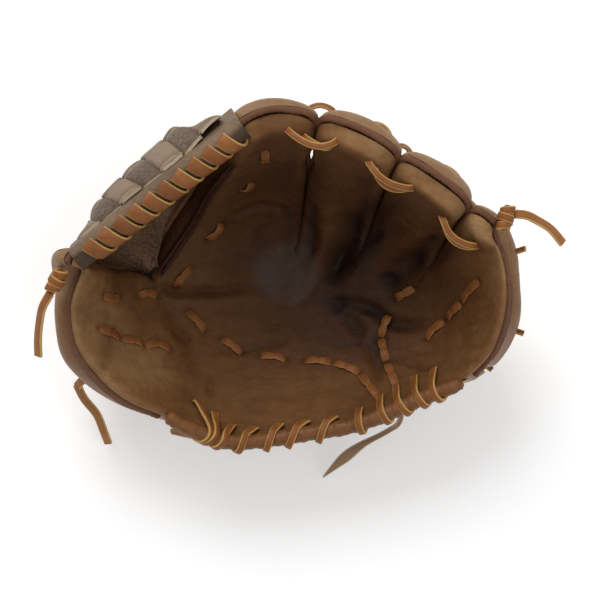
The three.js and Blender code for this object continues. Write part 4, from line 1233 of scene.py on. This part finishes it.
# Each tie: two strands over the front from one finger to the next, and one behind.
# A strand is its place on the left finger, its place on the right finger, and its bow.
TIES = {
    ("index", "middle"): dict(front=[((0.59, 0.997), (-0.54, 0.998), (1, -7, 2)),
                                     ((0.85, 0.985), (-0.60, 0.990), (2, -4, 3))],
                              back=((0.79, 0.965), (-0.68, 0.968), (0, 3, 1))),
    ("middle", "ring"): dict(front=[((0.58, 0.992), (-0.52, 0.993), (-3, -4, 2)),
                                    ((0.70, 0.985), (-0.60, 0.985), (-3, -5, 2))],
                             back=((0.85, 0.955), (-0.77, 0.930), (1, 3, 0))),
    ("ring", "pinky"): dict(front=[((0.59, 0.970), (-0.32, 0.949), (-4, -4, 2)),
                                   ((0.66, 0.962), (-0.38, 0.938), (-4, -5, 2))],
                            back=((0.80, 0.915), (-0.66, 0.860), (0, 1, -2))),
}
for (left, right), lines in TIES.items():
    piece = Piece()
    for from_left, to_right, bow in lines["front"]:
        tie(piece, on_front(left, *from_left, 1.2), on_front(right, *to_right, 1.2), (0.1, -0.35, 1), bow)
    from_left, to_right, bow = lines["back"]
    tie(piece, on_back(left, *from_left, 1.0), on_back(right, *to_right, 1.0), (0, 0.6, 1), bow)
    finish_lace(piece, f"tie_{left}_{right}", [f"tip_lace_{left}_{right}"])

# Lace that shows on the back of a finger: where it comes out and where it goes in.
BACK_LACES = {"middle": ((0.19, 0.973), (0.70, 0.963)), "ring": ((-0.16, 0.957), (0.65, 0.934))}
for name, ((a0, s0), (a1, s1)) in BACK_LACES.items():
    run_t = np.linspace(0, 1, 20)
    height = -1.5 + 3.0 * np.clip(np.sin(np.pi * run_t), 0, 1) ** 0.4
    line = np.array([on_back(name, mix(a0, a1, q), mix(s0, s1, q), h) for q, h in zip(run_t, height)])
    line += np.array([0.5, 0.8, 0.7]) * np.sin(np.pi * run_t)[:, None]
    piece = Piece().ribbon(line, (0.4, 0.8, 0.3), 3.8, 1.8)
    finish_lace(piece, f"{name}_back_lace")

# ---- Knots ----
def add_knot(name, body):
    """Turns of thong one above the other, and a loop down to the tail."""
    centre = np.array(KNOTS[name], float)
    tail_start = np.array(TAILS[name][0], float)
    axis = unit(tail_start - centre if name == "thumb_tip" else np.array([0.25, 1.0, 0.2]))
    first = unit(np.cross(axis, np.array([0, 0, 1.0])))
    second = np.cross(axis, first)
    piece = Piece()
    turn = np.linspace(0, 2 * np.pi * 1.12, 44)
    for shift, tilt, radius in ((-4.6, 0.5, 3.1), (-0.4, -0.4, 3.9), (3.8, 0.5, 3.3)):
        ring = first * np.cos(turn)[:, None] + second * np.sin(turn)[:, None]
        drift = axis * (shift + tilt * 1.6 * np.cos(turn) + np.linspace(-0.9, 0.9, 44))[:, None]
        piece.ribbon(centre + ring * radius + drift, ring, 4.6, 2.1, tone=0.5)
    core = centre + axis * np.linspace(-6.0, 6.0, 12)[:, None]
    piece.tube(core, 2.6, 10, tone=0.3)
    leave = spline(np.vstack([centre, mix(centre, tail_start, 0.6) + second * 1.5, tail_start]), 16)
    piece.ribbon(leave, np.array(TAIL_FACING[name], float), 4.6, 2.0, tone=0.55)
    finish_lace(piece, f"{name}_tied_knot", [f"{name}_knot"], body)


# Laces from inside the glove to where their free ends start: their places, width, materials and body.
ROOTS = {
    "thumb_heel": ([(-119, -47, 70), (-126, -50, 68), (-132, -52, 63)], THONG, [lace_leather, lace_edge],
                   "thumb_side"),
    "heel": ([(60, -70, 74), (60.5, -75, 69), (59, -78.5, 64.5)], 3.4, [worn_lace, raw_edge], "palm"),
}
for name, (inside, width, materials, body) in ROOTS.items():
    root = spline(np.array([*inside, TAILS[name][0]], float), 14)
    piece = Piece().ribbon(root, TAIL_FACING[name], width, TAIL_THICK, tone=0.62)
    finish_piece(piece.build(f"{name}_lace_root", materials), [], body)

# Cut ends of lace that stand out of the back: where each comes out, and which way it points.
STUBS = {"pinky": [((0.59, 0.926), (5, 1, 4))],
         "hand": [((0.95, 0.46), (5, -2, 1)), ((0.90, 0.25), (5, -4, 0))]}
for name, stubs in STUBS.items():
    piece = Piece()
    for (a0, s0), reach in stubs:
        line = on_back(name, a0, s0, -1.5) + np.linspace(0, 1, 8)[:, None] * np.array(reach, float)
        piece.ribbon(line, (0, 0.3, 1), 3.6, 2.0, tone=0.45)
    finish_lace(piece, f"{name}_lace_stub")

add_knot("thumb_tip", "thumb_side")
add_knot("pinky_tip", "palm")

# ---- Floor and light ----
floor_mesh = bpy.data.meshes.new("floor")
FLOOR = 4.0
floor_mesh.from_pydata([(-FLOOR, -FLOOR, 0), (FLOOR, -FLOOR, 0), (FLOOR, FLOOR, 0), (-FLOOR, FLOOR, 0)], [],
                       [(0, 1, 2, 3)])
floor = bpy.data.objects.new("floor", floor_mesh)
bpy.context.scene.collection.objects.link(floor)
paper = Nodes("paper")
paper.bsdf.inputs["Base Color"].default_value = (0.86, 0.86, 0.86, 1)
paper.bsdf.inputs["Emission Color"].default_value = (1, 1, 1, 1)
paper.bsdf.inputs["Emission Strength"].default_value = 0.3
paper.bsdf.inputs["Roughness"].default_value = 0.95
floor_mesh.materials.append(paper.material)


def area_light(name, place, size, power):
    data = bpy.data.lights.new(name, "AREA")
    data.size = size
    data.energy = power
    obj = bpy.data.objects.new(name, data)
    obj.location = place
    obj.rotation_euler = (AIM - Vector(place)).to_track_quat("-Z", "Y").to_euler()
    bpy.context.scene.collection.objects.link(obj)


area_light("key", (-0.35, 1.0, 1.5), 0.9, 17)
area_light("fill", (0.7, -0.6, 1.5), 1.2, 5)
world = bpy.data.worlds.new("studio")
world.use_nodes = True
world.node_tree.nodes["Background"].inputs[0].default_value = (1, 1, 1, 1)
world.node_tree.nodes["Background"].inputs[1].default_value = 0.45
bpy.context.scene.world = world
bpy.context.scene.view_settings.view_transform = "Standard"
